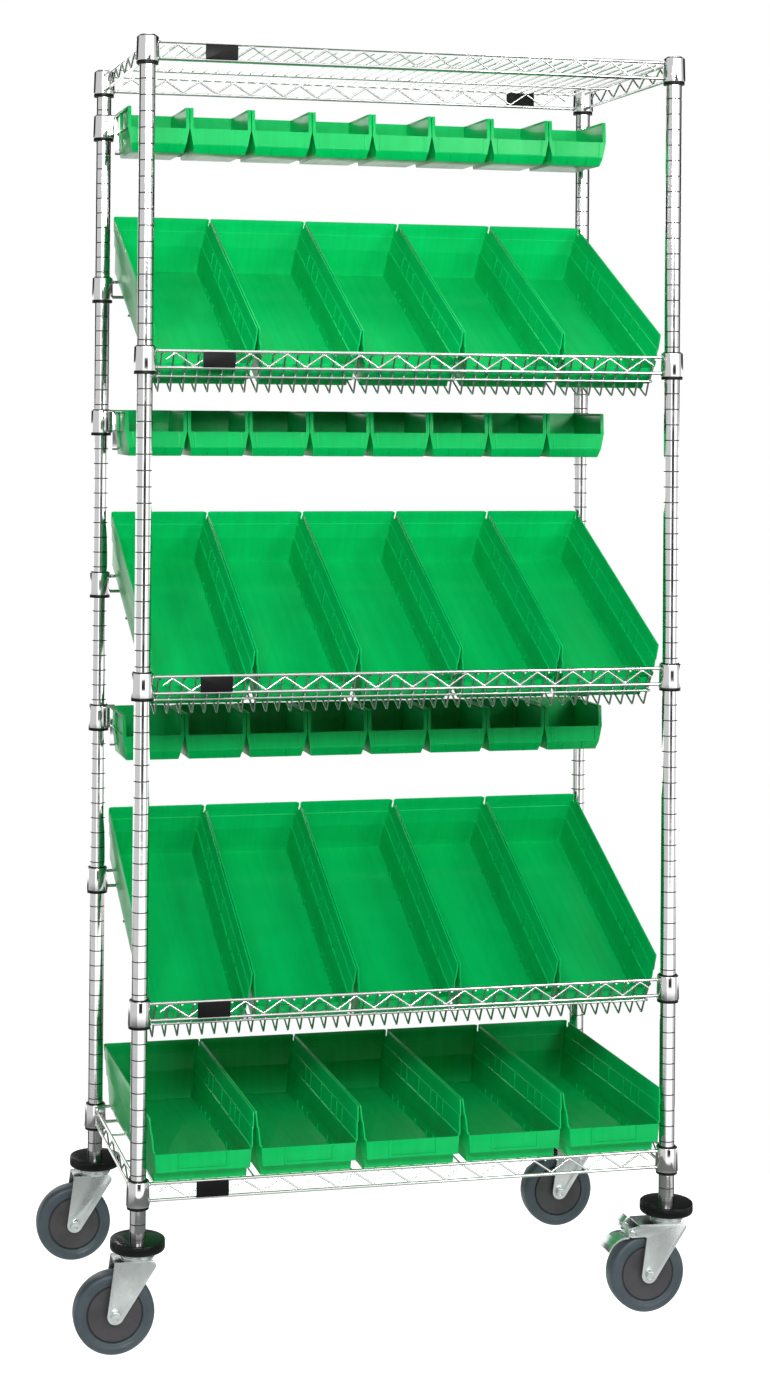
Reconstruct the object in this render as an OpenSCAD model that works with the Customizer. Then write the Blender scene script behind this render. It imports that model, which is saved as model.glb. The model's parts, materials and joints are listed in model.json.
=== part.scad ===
// Slanted shelf cart: a chrome wire cart on four stem casters, with two level shelves,
// three shelves that lean forward, twenty shelf bins and three rails of hanging hopper bins.
// The origin is on the floor, midway between the four posts. X runs to the right, Y to the
// back and Z up.

/* [Frame] */
// Distance between the left and right post centres
post_span_x = 876.3; // [870:1:960]
// Distance between the front and rear post centres
post_span_y = 419.1; // [400:1:440]
// Height of the lower edge of the bottom shelf collars above the floor
bottom_shelf_z = 220.5; // [214:0.5:240]
// Distance from one post groove to the next
groove_pitch = 25.4; // [25.4:0.1:26]

/* [Levels, in grooves above the bottom shelf] */
// Level of the top shelf
top_level = 70; // [70:1:72]
// Levels of the slanted shelves at the front posts
slant_levels = [51, 31, 11]; // [0:1:60]
// How many grooves higher a slanted shelf sits at the rear posts
slant_rise = 5; // [4:1:6]
// Levels of the bin rails
rail_levels = [67, 47, 27]; // [0:1:70]

/* [Posts] */
// Outer diameter of a post
post_d = 25.4; // [24:0.1:26]
// Wall of a post tube
post_wall = 1.6; // [1.2:0.1:2]
// Depth of a post groove
groove_depth = 0.5; // [0.3:0.1:0.8]
// Height of a post groove
groove_h = 1.6; // [1:0.1:2.5]
// Height of a groove above the lower edge of the collar that it holds
groove_rise = 2.5; // [2:0.1:4]
// How far a post reaches above the lower edge of the top collar
post_head = 45; // [44:0.5:50]
// Thickness of the end cap on a post
cap_t = 2; // [1:0.5:4]

/* [Collars and sleeves] */
// Height of a collar
collar_h = 39; // [36:0.5:42]
// Outer diameter of a collar at its lower edge
collar_d_low = 37; // [36:0.5:40]
// Outer diameter of a collar at its upper edge
collar_d_top = 35; // [33:0.5:36]
// Thickness of the split sleeve at its upper edge
sleeve_t_top = 1.9; // [1.5:0.1:2.2]
// Thickness of the split sleeve at its lower edge
sleeve_t_low = 2.9; // [2.4:0.1:3.2]
// How far a split sleeve shows below its collar
sleeve_show_low = 4.4; // [3:0.1:6]
// How far a split sleeve shows above its collar
sleeve_show_top = 1.6; // [0.5:0.1:3]
// Width of the slits between the two halves of a sleeve
sleeve_slit = 1.2; // [0.6:0.1:2]

/* [Shelf wire] */
// Diameter of the upper and lower truss rails
rail_wire_d = 5.2; // [4.5:0.1:6]
// Diameter of the zigzag truss wire
zig_wire_d = 3.2; // [2.5:0.1:4]
// Diameter of the surface wires
mat_wire_d = 3.2; // [2.5:0.1:4]
// Diameter of the cross wires under the surface wires
cross_wire_d = 4; // [3:0.1:5]
// Height of the upper truss rail above the lower edge of the collar
truss_top = 36.5; // [34:0.5:38]
// Height of the lower truss rail above the lower edge of the collar
truss_low = 10.5; // [9:0.5:12]
// Length of one zigzag wave
zig_wave = 60; // [55:1:64]
// Length of the free ends of the zigzag wire, along the rail
zig_tail = 15; // [8:1:18]
// Distance between surface wires
mat_pitch = 20; // [18:0.1:24]

/* [Slanted shelf] */
// How far behind the front truss the surface wires bend down
hook_reach = 12; // [9:0.5:16]
// Length of the upright stop in front of the bins
stop_len = 67; // [62:0.5:70]
// Height of the stop wire above the fold of the surface wires, along the stop
stop_wire_up = 29; // [20:1:40]

/* [Shelf bins] */
// Length of a shelf bin
bin_len = 454; // [430:1:454]
// Width of a shelf bin at its rim
bin_w = 168; // [140:0.5:168.4]
// Width of a shelf bin at its floor
bin_floor_w = 148; // [140:1:152]
// Height of a shelf bin
bin_h = 102; // [96:1:104]
// Wall of a shelf bin
bin_wall = 2.2; // [1.8:0.1:3]
// Gap between the rims of neighbouring shelf bins
bin_gap = 1.6; // [1:0.1:2]
// Height of the front lip of a shelf bin
bin_lip_h = 48; // [40:1:56]
// How far the front wall is set back under the lip
bin_setback = 22; // [15:1:26]
// Height of the set-back part of the front wall
bin_setback_h = 20; // [15:1:26]
// Height of the slanted edge under the lip
bin_nose_h = 3; // [2:0.5:5]
// How far the rim starts behind the lip
bin_rim_back = 13; // [8:1:20]
// How far the rear wall leans out from the floor to the rim
bin_lean = 3; // [2:0.5:6]
// Height of the lower ledge of the side walls
ledge_low_z = 50; // [48:0.5:56]
// Width of the lower ledge
ledge_low_w = 2; // [1:0.1:2.5]
// Height of the upper ledge, which runs round the rear wall too
ledge_top_z = 77; // [70:0.5:84]
// Width of the upper ledge
ledge_top_w = 1.2; // [0.8:0.1:1.6]
// Length of the notches in the side walls beside the rear wall
notch_len = 17; // [12:1:22]
// Depth of those notches
notch_h = 10; // [6:0.5:14]
// Places of the divider ribs, behind the lip
divider_at = [93, 127, 161, 227, 297, 331, 365]; // [60:1:400]
// Width of a divider rib
divider_w = 3; // [2:0.1:5]
// How far a divider rib stands out of the wall
divider_out = 1; // [0.6:0.1:1.4]
// Height of the short divider ribs on the floor
divider_foot_h = 9; // [6:0.5:14]
// Width of the label holder on the lip
holder_w = 80; // [60:1:100]
// Height of the label holder
holder_h = 25; // [18:1:26]
// Width of the raised rim of the label holder
holder_rim = 2; // [1:0.5:3]
// How far that rim stands out
holder_t = 1.2; // [0.8:0.1:2]

/* [Hopper bins] */
// Length of a hopper bin
hop_len = 136.5; // [120:0.5:140]
// Width of a hopper bin at its rim
hop_w = 104.8; // [100:0.2:105]
// Width of a hopper bin at its floor
hop_floor_w = 88; // [80:1:92]
// Height of a hopper bin
hop_h = 76; // [70:0.5:78]
// Wall of a hopper bin
hop_wall = 2; // [1.6:0.1:2.6]
// Gap between the rims of neighbouring hopper bins
hop_gap = 1; // [0.6:0.1:1.4]
// Height of the front lip of a hopper bin
hop_lip_h = 41; // [34:1:46]
// Height of the slanted part below the front lip
hop_toe_h = 14; // [10:1:18]
// How far the floor starts behind the lip
hop_toe = 9; // [5:1:14]
// Width of the flanges along the front of the side walls
hop_flange = 6; // [4:0.5:8]
// How far the lower end of the rear wall leans in
hop_lean = 4; // [2:0.5:6]
// How far the flanges lean back between the lip and the rim
hop_rim_back = 3; // [1:0.5:5]
// Height of the rim along the side walls
hop_rim_h = 4; // [2.5:0.5:6]
// Width of the label frame on the lip
hop_frame_w = 80; // [60:1:88]
// How far the label frame stands out
hop_frame_t = 0.8; // [0.5:0.1:1.2]
// Thickness of the ribs outside the side walls and under the lip
hop_rib_t = 1.4; // [1:0.1:2]
// Height of the rib along the outside of a side wall
hop_rib_z = 41; // [36:1:50]
// Place of the upright rib outside a side wall, behind the lip
hop_rib_y = 86; // [60:1:100]
// Width of the hook that hangs over the rail
hop_hook_w = 80; // [60:1:82]
// Height of the hook
hop_hook_h = 14; // [10:1:18]

/* [Bin rails] */
// Thickness of the rail sheet
rail_t = 1.6; // [1.2:0.1:2]
// Inner radius of the bend between the plate and its flange
rail_bend_r = 2.4; // [1.5:0.1:4]
// Height of the rail plate
rail_h = 66; // [62:1:68]
// How far the rail plate reaches below its collars
rail_drop = 24; // [20:1:26]
// Depth of the flange along the lower edge
rail_flange = 14; // [10:1:20]
// Distance from the post centres to the front of the plate
rail_front = 24; // [22:0.5:28]
// Distance from a post centre to the end of the plate
rail_inset = 16; // [14:0.5:19]
// Distance from a post centre to the far edge of its bracket
bracket_reach = 26; // [22:1:27]
// Height of the end brackets
bracket_h = 40; // [30:1:44]

/* [Casters] */
// Diameter of a wheel
wheel_d = 127; // [120:1:130]
// Width of a wheel
wheel_w = 32; // [28:1:34]
// Diameter of the wheel hub disc
hub_d = 88; // [76:1:96]
// Height of the bumper disc above the floor
bumper_z = 158; // [154:0.5:162]
// Diameter of the bumper disc
bumper_d = 86; // [80:1:92]
// Thickness of the bumper disc
bumper_t = 17.4; // [15:0.2:20]
// Distance from the swivel axis to the axle
trail = 37; // [30:1:40]
// Gap between the two legs of a fork
fork_gap = 38; // [36:1:42]
// Thickness of the fork sheet
fork_t = 3; // [2.5:0.1:4]
// Height of the fork shoulder above the floor
fork_top = 146; // [144:0.5:150]
// Diameter of the swivel head on the fork
swivel_d = 54; // [44:1:56]
// Diameter of the raised disc in the middle of the hub
hub_boss_d = 25; // [22:1:30]
// Distance from the rim of the hub disc to its raised ring
hub_ring_in = 9; // [6:0.5:12]
// Depth of the hub disc inside that ring
hub_dish = 2.2; // [1:0.1:4]
// Diameter of the axle
axle_d = 9.5; // [8:0.5:10]
// Diameter of the caster stem
stem_d = 12.7; // [10:0.1:14]
// Length of the caster stem inside the post
stem_len = 60; // [40:1:80]

/* [Brake] */
// Distance from the swivel axis to the brake pin
brake_pin_x = 66; // [62:1:68]
// Height of the brake pin
brake_pin_z = 134; // [132:0.5:135]
// Diameter of the brake pin
brake_pin_d = 6; // [5:0.5:7]
// Width of the brake lever between the fork arms
brake_w = 30; // [24:1:34]
// Width of the brake pedal
pedal_w = 38; // [30:1:44]
// Thickness of the brake lever sheet
brake_t = 2.5; // [2:0.1:3]
// How far the brake arms of the fork reach past the brake pin
arm_end = 8; // [7:0.5:10]

/* [Label plates] */
// Width of a label plate
label_w = 52; // [40:1:60]
// Height of a label plate
label_h = 24; // [20:1:25]
// Thickness of a label plate
label_t = 1.6; // [1:0.1:2]
// Radius of the corners of a label plate
label_r = 1.5; // [0.5:0.1:4]
// Distance from the left post centre to a front label plate
label_inset = 92; // [80:1:120]

/* [Fits] */
// Hairline between two wires that are welded together
weld = 0.06; // [0.04:0.01:0.1]
// Gap between a collar, its sleeve and the post
fit = 0.1; // [0.05:0.05:0.15]
// Running gap of pieces that move against each other
run = 0.4; // [0.3:0.05:0.5]

/* [Hidden] */
half_x = post_span_x / 2;
half_y = post_span_y / 2;
post_foot = bumper_z + bumper_t;
post_top = level_z(top_level) + post_head;
corners = [[-1, -1], [1, -1], [-1, 1], [1, 1]];
corner_names = ["front_left", "front_right", "rear_left", "rear_right"];
tier_names = ["upper", "middle", "lower"];
mat_count = floor((post_span_x - collar_d_low - 2 * mat_wire_d) / mat_pitch) + 1;
zig_count = floor((post_span_x - 2 * zig_tail - collar_d_low) / zig_wave);
zig_count_side = floor((post_span_y - 2 * zig_tail - collar_d_low) / zig_wave);
mat_drop = (rail_wire_d + mat_wire_d) / 2 + weld;
end_gap = zig_wire_d / 2 + weld;
// Height of the mitred peak of the zigzag, across the wire
zig_peak = zig_wire_d * norm([zig_wave / 2, truss_top - truss_low - rail_wire_d]) / (zig_wave / 2);
bin_pitch = bin_w + bin_gap;
hop_pitch = hop_w + hop_gap;
// Five shelf bins and eight hopper bins side by side, or as many as fit between the posts and
// between the brackets of a rail
bins_per_shelf = min(5, floor((post_span_x - post_d - 2 * run) / bin_pitch));
bins_per_rail = min(8, 1 + floor((post_span_x - 2 * (bracket_reach + run) - hop_hook_w) / hop_pitch));
bin_x = [for (i = [0 : bins_per_shelf - 1]) (i - (bins_per_shelf - 1) / 2) * bin_pitch];
hop_x = [for (i = [0 : bins_per_rail - 1]) (i - (bins_per_rail - 1) / 2) * hop_pitch];
axle_z = wheel_d / 2;
leg_out = fork_gap / 2 + fork_t;

shelf_bin_names = [for (t = [0 : 2]) for (i = [1 : bins_per_shelf]) str(tier_names[t], "_shelf_bin_", i)];
bottom_bin_names = [for (i = [1 : bins_per_shelf]) str("bottom_shelf_bin_", i)];
hopper_names = [for (t = [0 : 2]) for (i = [1 : bins_per_rail]) str(tier_names[t], "_hopper_bin_", i)];
fork_names = [for (c = corner_names) str("fork_", c)];
wheel_names = [for (c = corner_names) str("wheel_", c)];

chrome = [0.80, 0.81, 0.82];
black = [0.08, 0.08, 0.09];
green = [0.05, 0.68, 0.30];
zinc = [0.74, 0.77, 0.78];
rubber = [0.26, 0.29, 0.31];
hub_grey = [0.24, 0.24, 0.25];

function level_z(n) = bottom_shelf_z + n * groove_pitch;
// Outer radius of a collar at a height above its lower edge
function collar_r(h) = (collar_d_low + (collar_d_top - collar_d_low) * (h - sleeve_show_low) / collar_h) / 2;

// Points of an arc round a centre, in the plane of an outline
function arc(centre, r, from, to, steps = 5) =
    [for (i = [0 : steps]) let (a = from + (to - from) * i / steps) centre + r * [cos(a), sin(a)]];

module along_x(length, d) { rotate([0, 90, 0]) cylinder(h = length, d = d, center = true, $fn = 32); }
module along_y(length, d) { rotate([90, 0, 0]) cylinder(h = length, d = d, center = true, $fn = 32); }

function unit(v) = v / norm(v);
function square_to(dir) = [-dir[1], dir[0]];
// Direction of the cut between two stretches of wire, on the left side of either
function mitre(before, after) = let (m = before - after) unit(cross(after, m) > 0 ? m : -m);

// Straight stretch of wire from a to b, [x, z] in the XZ plane. Each end is square, or is
// mitred for the stretch that comes before it or goes on after it, a hairline short.
module stretch(a, b, d, before = undef, after = undef) {
    dir = unit(b - a);
    cut_a = is_undef(before) ? square_to(dir) : mitre(unit(a - before), dir);
    cut_b = is_undef(after) ? square_to(dir) : mitre(dir, unit(after - b));
    start = a + (is_undef(before) ? 0 : weld / 2) * dir;
    end = b - (is_undef(after) ? 0 : weld / 2) * dir;
    rotate([90, 0, 0]) intersection() {
        translate(a - d * dir) rotate([0, 90, atan2(dir[1], dir[0])])
            cylinder(h = norm(b - a) + 2 * d, d = d, $fn = 32);
        linear_extrude(2 * d, center = true)
            polygon([start + d * cut_a, end + d * cut_b, end - d * cut_b, start - d * cut_a]);
    }
}

// Wire bent along points in the XZ plane
module bent_wire(points, d) {
    for (i = [0 : len(points) - 2]) stretch(points[i], points[i + 1], d, points[i - 1], points[i + 2]);
}

// Posts: grooved tubes, each with its end cap and the stem of its caster
module post_tube() {
    r = post_d / 2;
    grooves = [for (k = [ceil((post_foot - level_z(0)) / groove_pitch) : top_level + 1])
        let (z = level_z(k) + groove_rise) if (z > post_foot + groove_h && z < post_top - groove_h) z];
    outline = concat([[r - post_wall, post_foot], [r, post_foot]],
        [for (z = grooves) for (p = [[r, z - groove_h / 2], [r - groove_depth, z - groove_h / 4],
            [r - groove_depth, z + groove_h / 4], [r, z + groove_h / 2]]) p],
        [[r, post_top], [r - post_wall, post_top]]);
    rotate_extrude($fn = 48) polygon(outline);
}

module post_cap() {
    r = post_d / 2;
    plug = r - post_wall - fit;
    translate([0, 0, post_top + weld]) rotate_extrude($fn = 48) polygon([
        [0, -12], [plug, -12], [plug, 0], [r, 0], [r, cap_t / 2], [r - cap_t / 2, cap_t], [0, cap_t]]);
}

module caster_stem() {
    socket = post_d / 2 - post_wall - fit;
    translate([0, 0, bumper_z - 3]) cylinder(h = bumper_t + 3 - weld, d = stem_d, $fn = 32);
    translate([0, 0, post_foot - weld]) cylinder(h = stem_len, r = socket, $fn = 32);
}

module at_corners() {
    for (c = corners) translate([c[0] * half_x, c[1] * half_y, 0]) children();
}

module posts() {
    color(chrome) at_corners() { post_tube(); post_cap(); caster_stem(); }
}

// Collar welded to a shelf or a rail, bored to seat on its sleeve
module collar() {
    low = sleeve_show_low;
    bore_low = post_d / 2 + fit + sleeve_t_low + fit;
    bore_top = post_d / 2 + fit + sleeve_t_top + fit;
    high = low + collar_h;
    edge = 1;
    rotate_extrude($fn = 48) polygon([
        [bore_low, low], [collar_d_low / 2 - edge, low], [collar_r(low + edge), low + edge],
        [collar_r(high - edge), high - edge], [collar_r(high) - edge, high], [bore_top, high]]);
}

// Split sleeve: two tapered half shells that grip a post groove
module sleeve() {
    inner = post_d / 2 + fit;
    outer = inner + sleeve_t_low;
    full = collar_h + sleeve_show_low + sleeve_show_top;
    foot = 1.6;
    difference() {
        rotate_extrude($fn = 48) polygon([
            [inner, 0], [outer + foot, 0], [outer + foot, sleeve_show_low - weld],
            [outer, sleeve_show_low - weld], [outer, sleeve_show_low],
            [inner + sleeve_t_top, full], [inner, full]]);
        translate([0, 0, full / 2]) cube([collar_d_low + 8, sleeve_slit, full + 2], center = true);
    }
}

collar_places = concat(
    [for (c = corners) for (n = [0, top_level]) [c[0] * half_x, c[1] * half_y, level_z(n)]],
    [for (n = slant_levels) for (c = corners)
        [c[0] * half_x, c[1] * half_y, level_z(n + (c[1] > 0 ? slant_rise : 0))]],
    [for (n = rail_levels) for (s = [-1, 1]) [s * half_x, half_y, level_z(n)]]);

module split_sleeves() {
    color(black) for (p = collar_places) translate(p) sleeve();
}

// Truss along X at the origin: two rails and a zigzag wire whose ends hang free
module truss(span, waves) {
    rail_low = span - 2 * collar_r(truss_low) - 4 * weld;
    rail_top = span - 2 * collar_r(truss_top) - 4 * weld;
    translate([0, 0, truss_top]) along_x(rail_top, rail_wire_d);
    translate([0, 0, truss_low]) along_x(rail_low, rail_wire_d);
    high = truss_top - (rail_wire_d + zig_peak) / 2 - weld;
    low = truss_low + (rail_wire_d + zig_peak) / 2 + weld;
    tail_z = high - (high - low) * zig_tail / (zig_wave / 2);
    start = -waves * zig_wave / 2;
    bent_wire(concat([[start - zig_tail, tail_z]],
        [for (i = [0 : 2 * waves]) [start + i * zig_wave / 2, i % 2 == 0 ? high : low]],
        [[-start + zig_tail, tail_z]]), zig_wire_d);
}

// Level shelf: trusses on four sides, surface wires under the upper rails, and two cross wires
module flat_shelf() {
    mat_z = truss_top - mat_drop;
    cross_z = mat_z - (mat_wire_d + cross_wire_d) / 2 - weld;
    for (s = [-1, 1]) {
        translate([0, s * half_y, 0]) truss(post_span_x, zig_count);
        translate([s * half_x, 0, 0]) rotate(90) truss(post_span_y, zig_count_side);
        translate([0, s * half_y / 3, cross_z]) along_x(post_span_x - 2 * end_gap, cross_wire_d);
    }
    for (i = [-(mat_count - 1) / 2 : (mat_count - 1) / 2])
        translate([i * mat_pitch, 0, mat_z]) along_y(post_span_y - 2 * end_gap, mat_wire_d);
    at_corners() collar();
}

module flat_shelves() {
    color(chrome) for (n = [0, top_level]) translate([0, 0, level_z(n)]) flat_shelf();
}

// The slanted surface, in a plane across X: the stop hangs from the front truss and the
// surface wires climb from its foot, square to it, to rest on the rear truss. Points are
// [y, z] above the lower edge of the front collars.
bend = [-half_y + hook_reach, truss_top - mat_drop];
rear_rail = [half_y, slant_rise * groove_pitch + truss_top];
to_rail = rear_rail - bend;
slope = atan2(to_rail[1], to_rail[0]) + asin((stop_len + mat_drop) / norm(to_rail));
uphill = [cos(slope), sin(slope)];
off_mat = [-sin(slope), cos(slope)];
fold = bend - stop_len * off_mat;
mat_run = (rear_rail - fold) * uphill + rail_wire_d;

// One surface wire: a hook that hangs behind the front truss, and the climbing run
module slanted_wire() {
    rotate(90) bent_wire([[-half_y + end_gap, bend[1]], bend, fold, fold + mat_run * uphill], mat_wire_d);
}

module slanted_shelf() {
    translate([0, -half_y, 0]) truss(post_span_x, zig_count);
    translate([0, half_y, slant_rise * groove_pitch]) truss(post_span_x, zig_count);
    mat_width = (mat_count - 1) * mat_pitch + 8;
    for (i = [-(mat_count - 1) / 2 : (mat_count - 1) / 2]) translate([i * mat_pitch, 0, 0]) slanted_wire();
    under_gap = (mat_wire_d + cross_wire_d) / 2 + weld;
    stop_at = fold + stop_wire_up * off_mat - under_gap * uphill;
    translate([0, stop_at[0], stop_at[1]]) along_x(mat_width, cross_wire_d);
    for (share = [1 / 3, 2 / 3]) {
        under = fold + share * mat_run * uphill - under_gap * off_mat;
        translate([0, under[0], under[1]]) along_x(mat_width, cross_wire_d);
    }
    for (c = corners)
        translate([c[0] * half_x, c[1] * half_y, c[1] > 0 ? slant_rise * groove_pitch : 0]) collar();
}

module slanted_shelves() {
    color(chrome) for (n = slant_levels) translate([0, 0, level_z(n)]) slanted_shelf();
}

// Shelf bin: its origin is on its floor line, below the middle of the front lip.
// The side outline is [y, z]; the cross-section widens towards the rim, in steps at two ledges.
// A ledge is [height, width of the steps below it, width with its own].
side_ledges = [[ledge_low_z, 0, ledge_low_w], [ledge_top_z, ledge_low_w, ledge_low_w + ledge_top_w]];
rear_ledges = [[ledge_top_z, 0, ledge_top_w]];
side_lean = (bin_w - bin_floor_w) / 2 - ledge_low_w - ledge_top_w;

// Points [outwards, z] of a wall that leans out by `lean` up to the rim and steps out at ledges
function stepped(foot, lean, ledges, floor_z, top_z, inset) =
    let (out = function (z) foot - inset + lean * z / bin_h)
    concat([[out(floor_z), floor_z]],
        [for (l = ledges) for (step = [l[1], l[2]]) [out(l[0] + inset) + step, l[0] + inset]],
        [[out(top_z) + ledges[len(ledges) - 1][2], top_z]]);

module bin_section(inset, floor_z, top_z) {
    right = stepped(bin_floor_w / 2, side_lean, side_ledges, floor_z, top_z, inset);
    polygon(concat(right, [for (i = [len(right) - 1 : -1 : 0]) [-right[i][0], right[i][1]]]));
}

module side_slab(width) {
    rotate([90, 0, 90]) linear_extrude(width, center = true) children();
}

module end_slab(length) {
    rotate([90, 0, 0]) linear_extrude(length, center = true) children();
}

module shelf_bin() {
    w = bin_wall;
    color(green) {
        difference() {
            intersection() {
                side_slab(bin_w + 2) polygon(concat(
                    [[bin_setback, 0]],
                    stepped(bin_len - bin_lean, bin_lean - ledge_top_w, rear_ledges, 0, bin_h, 0),
                    [[bin_rim_back, bin_h], [0, bin_lip_h], [0, bin_setback_h],
                        [bin_setback, bin_setback_h - bin_nose_h]]));
                end_slab(3 * bin_len) bin_section(0, 0, bin_h);
            }
            intersection() {
                side_slab(bin_w) polygon(concat(
                    [[bin_setback + w, w]],
                    stepped(bin_len - bin_lean, bin_lean - ledge_top_w, rear_ledges, w, bin_h + 1, w),
                    [[-1, bin_h + 1], [-1, bin_lip_h], [w, bin_lip_h], [w, bin_setback_h + w],
                        [bin_setback + w, bin_setback_h + w - bin_nose_h]]));
                end_slab(3 * bin_len) bin_section(w, w, bin_h + 1);
            }
            for (s = [0, 1]) mirror([s, 0, 0])
                translate([bin_w / 2 - 3 * w, bin_len - notch_len, bin_h - notch_h])
                    cube([4 * w, notch_len - 2 * w, notch_h + 1]);
        }
        label_holder(holder_w, holder_h, bin_setback_h + 1, holder_t, w);
        for (s = [0, 1]) mirror([s, 0, 0]) for (y = divider_at) translate([0, y, 0]) {
            divider_rib(w / 2, w + divider_foot_h, 0);
            divider_rib(ledge_low_z + w / 2, ledge_top_z + w / 2, ledge_low_w);
        }
    }
}

// Upright rib on the inside of a side wall, which holds the edge of a divider. The wall has
// stepped out by `step` where the rib stands.
module divider_rib(low_z, top_z, step) {
    function wall_x(z) = bin_floor_w / 2 - bin_wall + step + side_lean * z / bin_h;
    end_slab(divider_w) polygon([
        [wall_x(low_z) - divider_out, low_z], [wall_x(low_z) + bin_wall / 2, low_z],
        [wall_x(top_z) + bin_wall / 2, top_z], [wall_x(top_z) - divider_out, top_z]]);
}

// Three raised bars that hold a card on the lip
module label_holder(width, height, z, out, wall) {
    depth = out + wall / 2;
    for (s = [0, 1]) mirror([s, 0, 0])
        translate([width / 2 - holder_rim, -out, z]) cube([holder_rim, depth, height]);
    translate([-width / 2, -out, z]) cube([width, depth, holder_rim]);
}

// Hopper bin: its origin is at its floor, below the middle of its front lip. Its walls stand
// in from its flanges, which run up the front of the side walls and along their rims.
// The cross-section is drawn in from the flanges by `inset` at the rim and by `foot` at the floor.
module hop_section(inset, foot, floor_z, top_z) {
    wide = hop_w / 2 - inset;
    narrow = hop_floor_w / 2 - foot;
    right = [for (z = [floor_z, hop_lip_h, top_z]) [narrow + (wide - narrow) * min(1, z / hop_lip_h), z]];
    polygon(concat(right, [for (i = [2 : -1 : 0]) [-right[i][0], right[i][1]]]));
}

hook_gap = rail_t + 2 * run;
hop_back = hop_len - hook_gap - hop_wall;
module hopper_bin() {
    w = hop_wall;
    color(green) {
        difference() {
            intersection() {
                hopper_block();
                union() {
                    end_slab(3 * hop_len) hop_section(hop_flange - w, 0, 0, hop_h);
                    hopper_ribs();
                }
            }
            intersection() {
                side_slab(hop_w) polygon([
                    [hop_toe + w, w], [hop_back - hop_lean - w, w], [hop_back - w, hop_lip_h],
                    [hop_back - w, hop_h + 1], [w + hop_rim_back, hop_h + 1], [w, hop_lip_h],
                    [w, hop_toe_h + 1]]);
                end_slab(3 * hop_len) hop_section(hop_flange, w, w, hop_h + 1);
            }
            side_slab(hop_w - 2 * hop_flange) polygon([
                [-1, hop_lip_h], [w + 1, hop_lip_h], [w + hop_rim_back + 1, hop_h + 1], [-1, hop_h + 1]]);
        }
        label_holder(hop_frame_w, hop_lip_h - hop_toe_h, hop_toe_h, hop_frame_t, w);
        for (side = [-1, 1]) translate([side * hop_w / 6, 0, 0]) side_slab(hop_rib_t) polygon([
            [hop_toe + w / 2, 0], [w / 2, hop_toe_h], [0, hop_toe_h], [0, hop_toe_h - w], [hop_toe - w, 0]]);
        translate([-hop_hook_w / 2, hop_back - w / 2, hop_h - w])
            cube([hop_hook_w, hop_len - hop_back + w / 2, w]);
        translate([-hop_hook_w / 2, hop_len - w, hop_h - hop_hook_h]) cube([hop_hook_w, w, hop_hook_h]);
    }
}

// The whole outline of a hopper bin from its side, and from its front
module hopper_block() {
    intersection() {
        side_slab(hop_w + 2) polygon([
            [hop_toe, 0], [hop_back - hop_lean, 0], [hop_back, hop_lip_h], [hop_back, hop_h],
            [hop_rim_back, hop_h], [0, hop_lip_h], [0, hop_toe_h]]);
        end_slab(3 * hop_len) hop_section(0, 0, 0, hop_h);
    }
}

// What fills the width of the flanges: front, rim, a rib along each side and an upright one
module hopper_ribs() {
    w = hop_wall;
    side_slab(hop_w) polygon([
        [hop_toe + w, 0], [-1, 0], [-1, hop_h], [w + hop_rim_back, hop_h], [w, hop_lip_h], [w, hop_toe_h]]);
    translate([-hop_w / 2, 0, hop_h - hop_rim_h]) cube([hop_w, hop_len, hop_rim_h]);
    translate([-hop_w / 2, 0, hop_rib_z]) cube([hop_w, hop_len, hop_rib_t]);
    translate([-hop_w / 2, hop_rib_y, 0]) cube([hop_w, hop_rib_t, hop_h]);
}

// Bin rail: a plate with a flange along its lower edge, and a bracket and collar at each post
plate_y = half_y - rail_front;
module bin_rail() {
    plate_w = post_span_x - 2 * rail_inset;
    low = sleeve_show_low;
    bend_at = (rail_t + rail_bend_r) * [1, 1];
    translate([0, plate_y, -rail_drop]) side_slab(plate_w) polygon(concat(
        arc(bend_at, rail_t + rail_bend_r, 180, 270), [[rail_flange, 0], [rail_flange, rail_t]],
        arc(bend_at, rail_bend_r, 270, 180), [[rail_t, rail_h], [0, rail_h]]));
    for (s = [0, 1]) mirror([s, 0, 0]) {
        translate([half_x, half_y, 0]) collar();
        // The bracket laps the end of the plate and is notched for the collar
        difference() {
            translate([half_x - bracket_reach, plate_y + rail_t / 2, low]) rotate([90, 0, 90])
                linear_extrude(bracket_reach - 4) polygon([
                    [0, (collar_h - bracket_h) / 2 + 6], [rail_front - 8, 0], [rail_front - 8, bracket_h],
                    [0, bracket_h - 2]]);
            translate([half_x, half_y, 0]) cylinder(h = 2 * bracket_h, d = collar_d_low + 2 * weld, $fn = 48);
        }
    }
}

module bin_rails() {
    color(chrome) for (n = rail_levels) translate([0, 0, level_z(n)]) bin_rail();
}

// Bare label plates, clipped on the truss rails of every shelf
module label_plate() {
    end_slab(label_t) hull() for (x = [-1, 1]) for (z = [-1, 1])
        translate([x * (label_w / 2 - label_r), z * (label_h / 2 - label_r)]) circle(r = label_r, $fn = 24);
}

module label_plates() {
    off = rail_wire_d / 2 + weld + label_t / 2;
    mid = (truss_top + truss_low) / 2;
    front_x = -half_x + label_inset + label_w / 2;
    color(black) {
        for (n = concat([0, top_level], slant_levels))
            translate([front_x, -half_y - off, level_z(n) + mid]) label_plate();
        translate([-front_x, half_y + off, level_z(top_level) + mid]) label_plate();
    }
}

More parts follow.
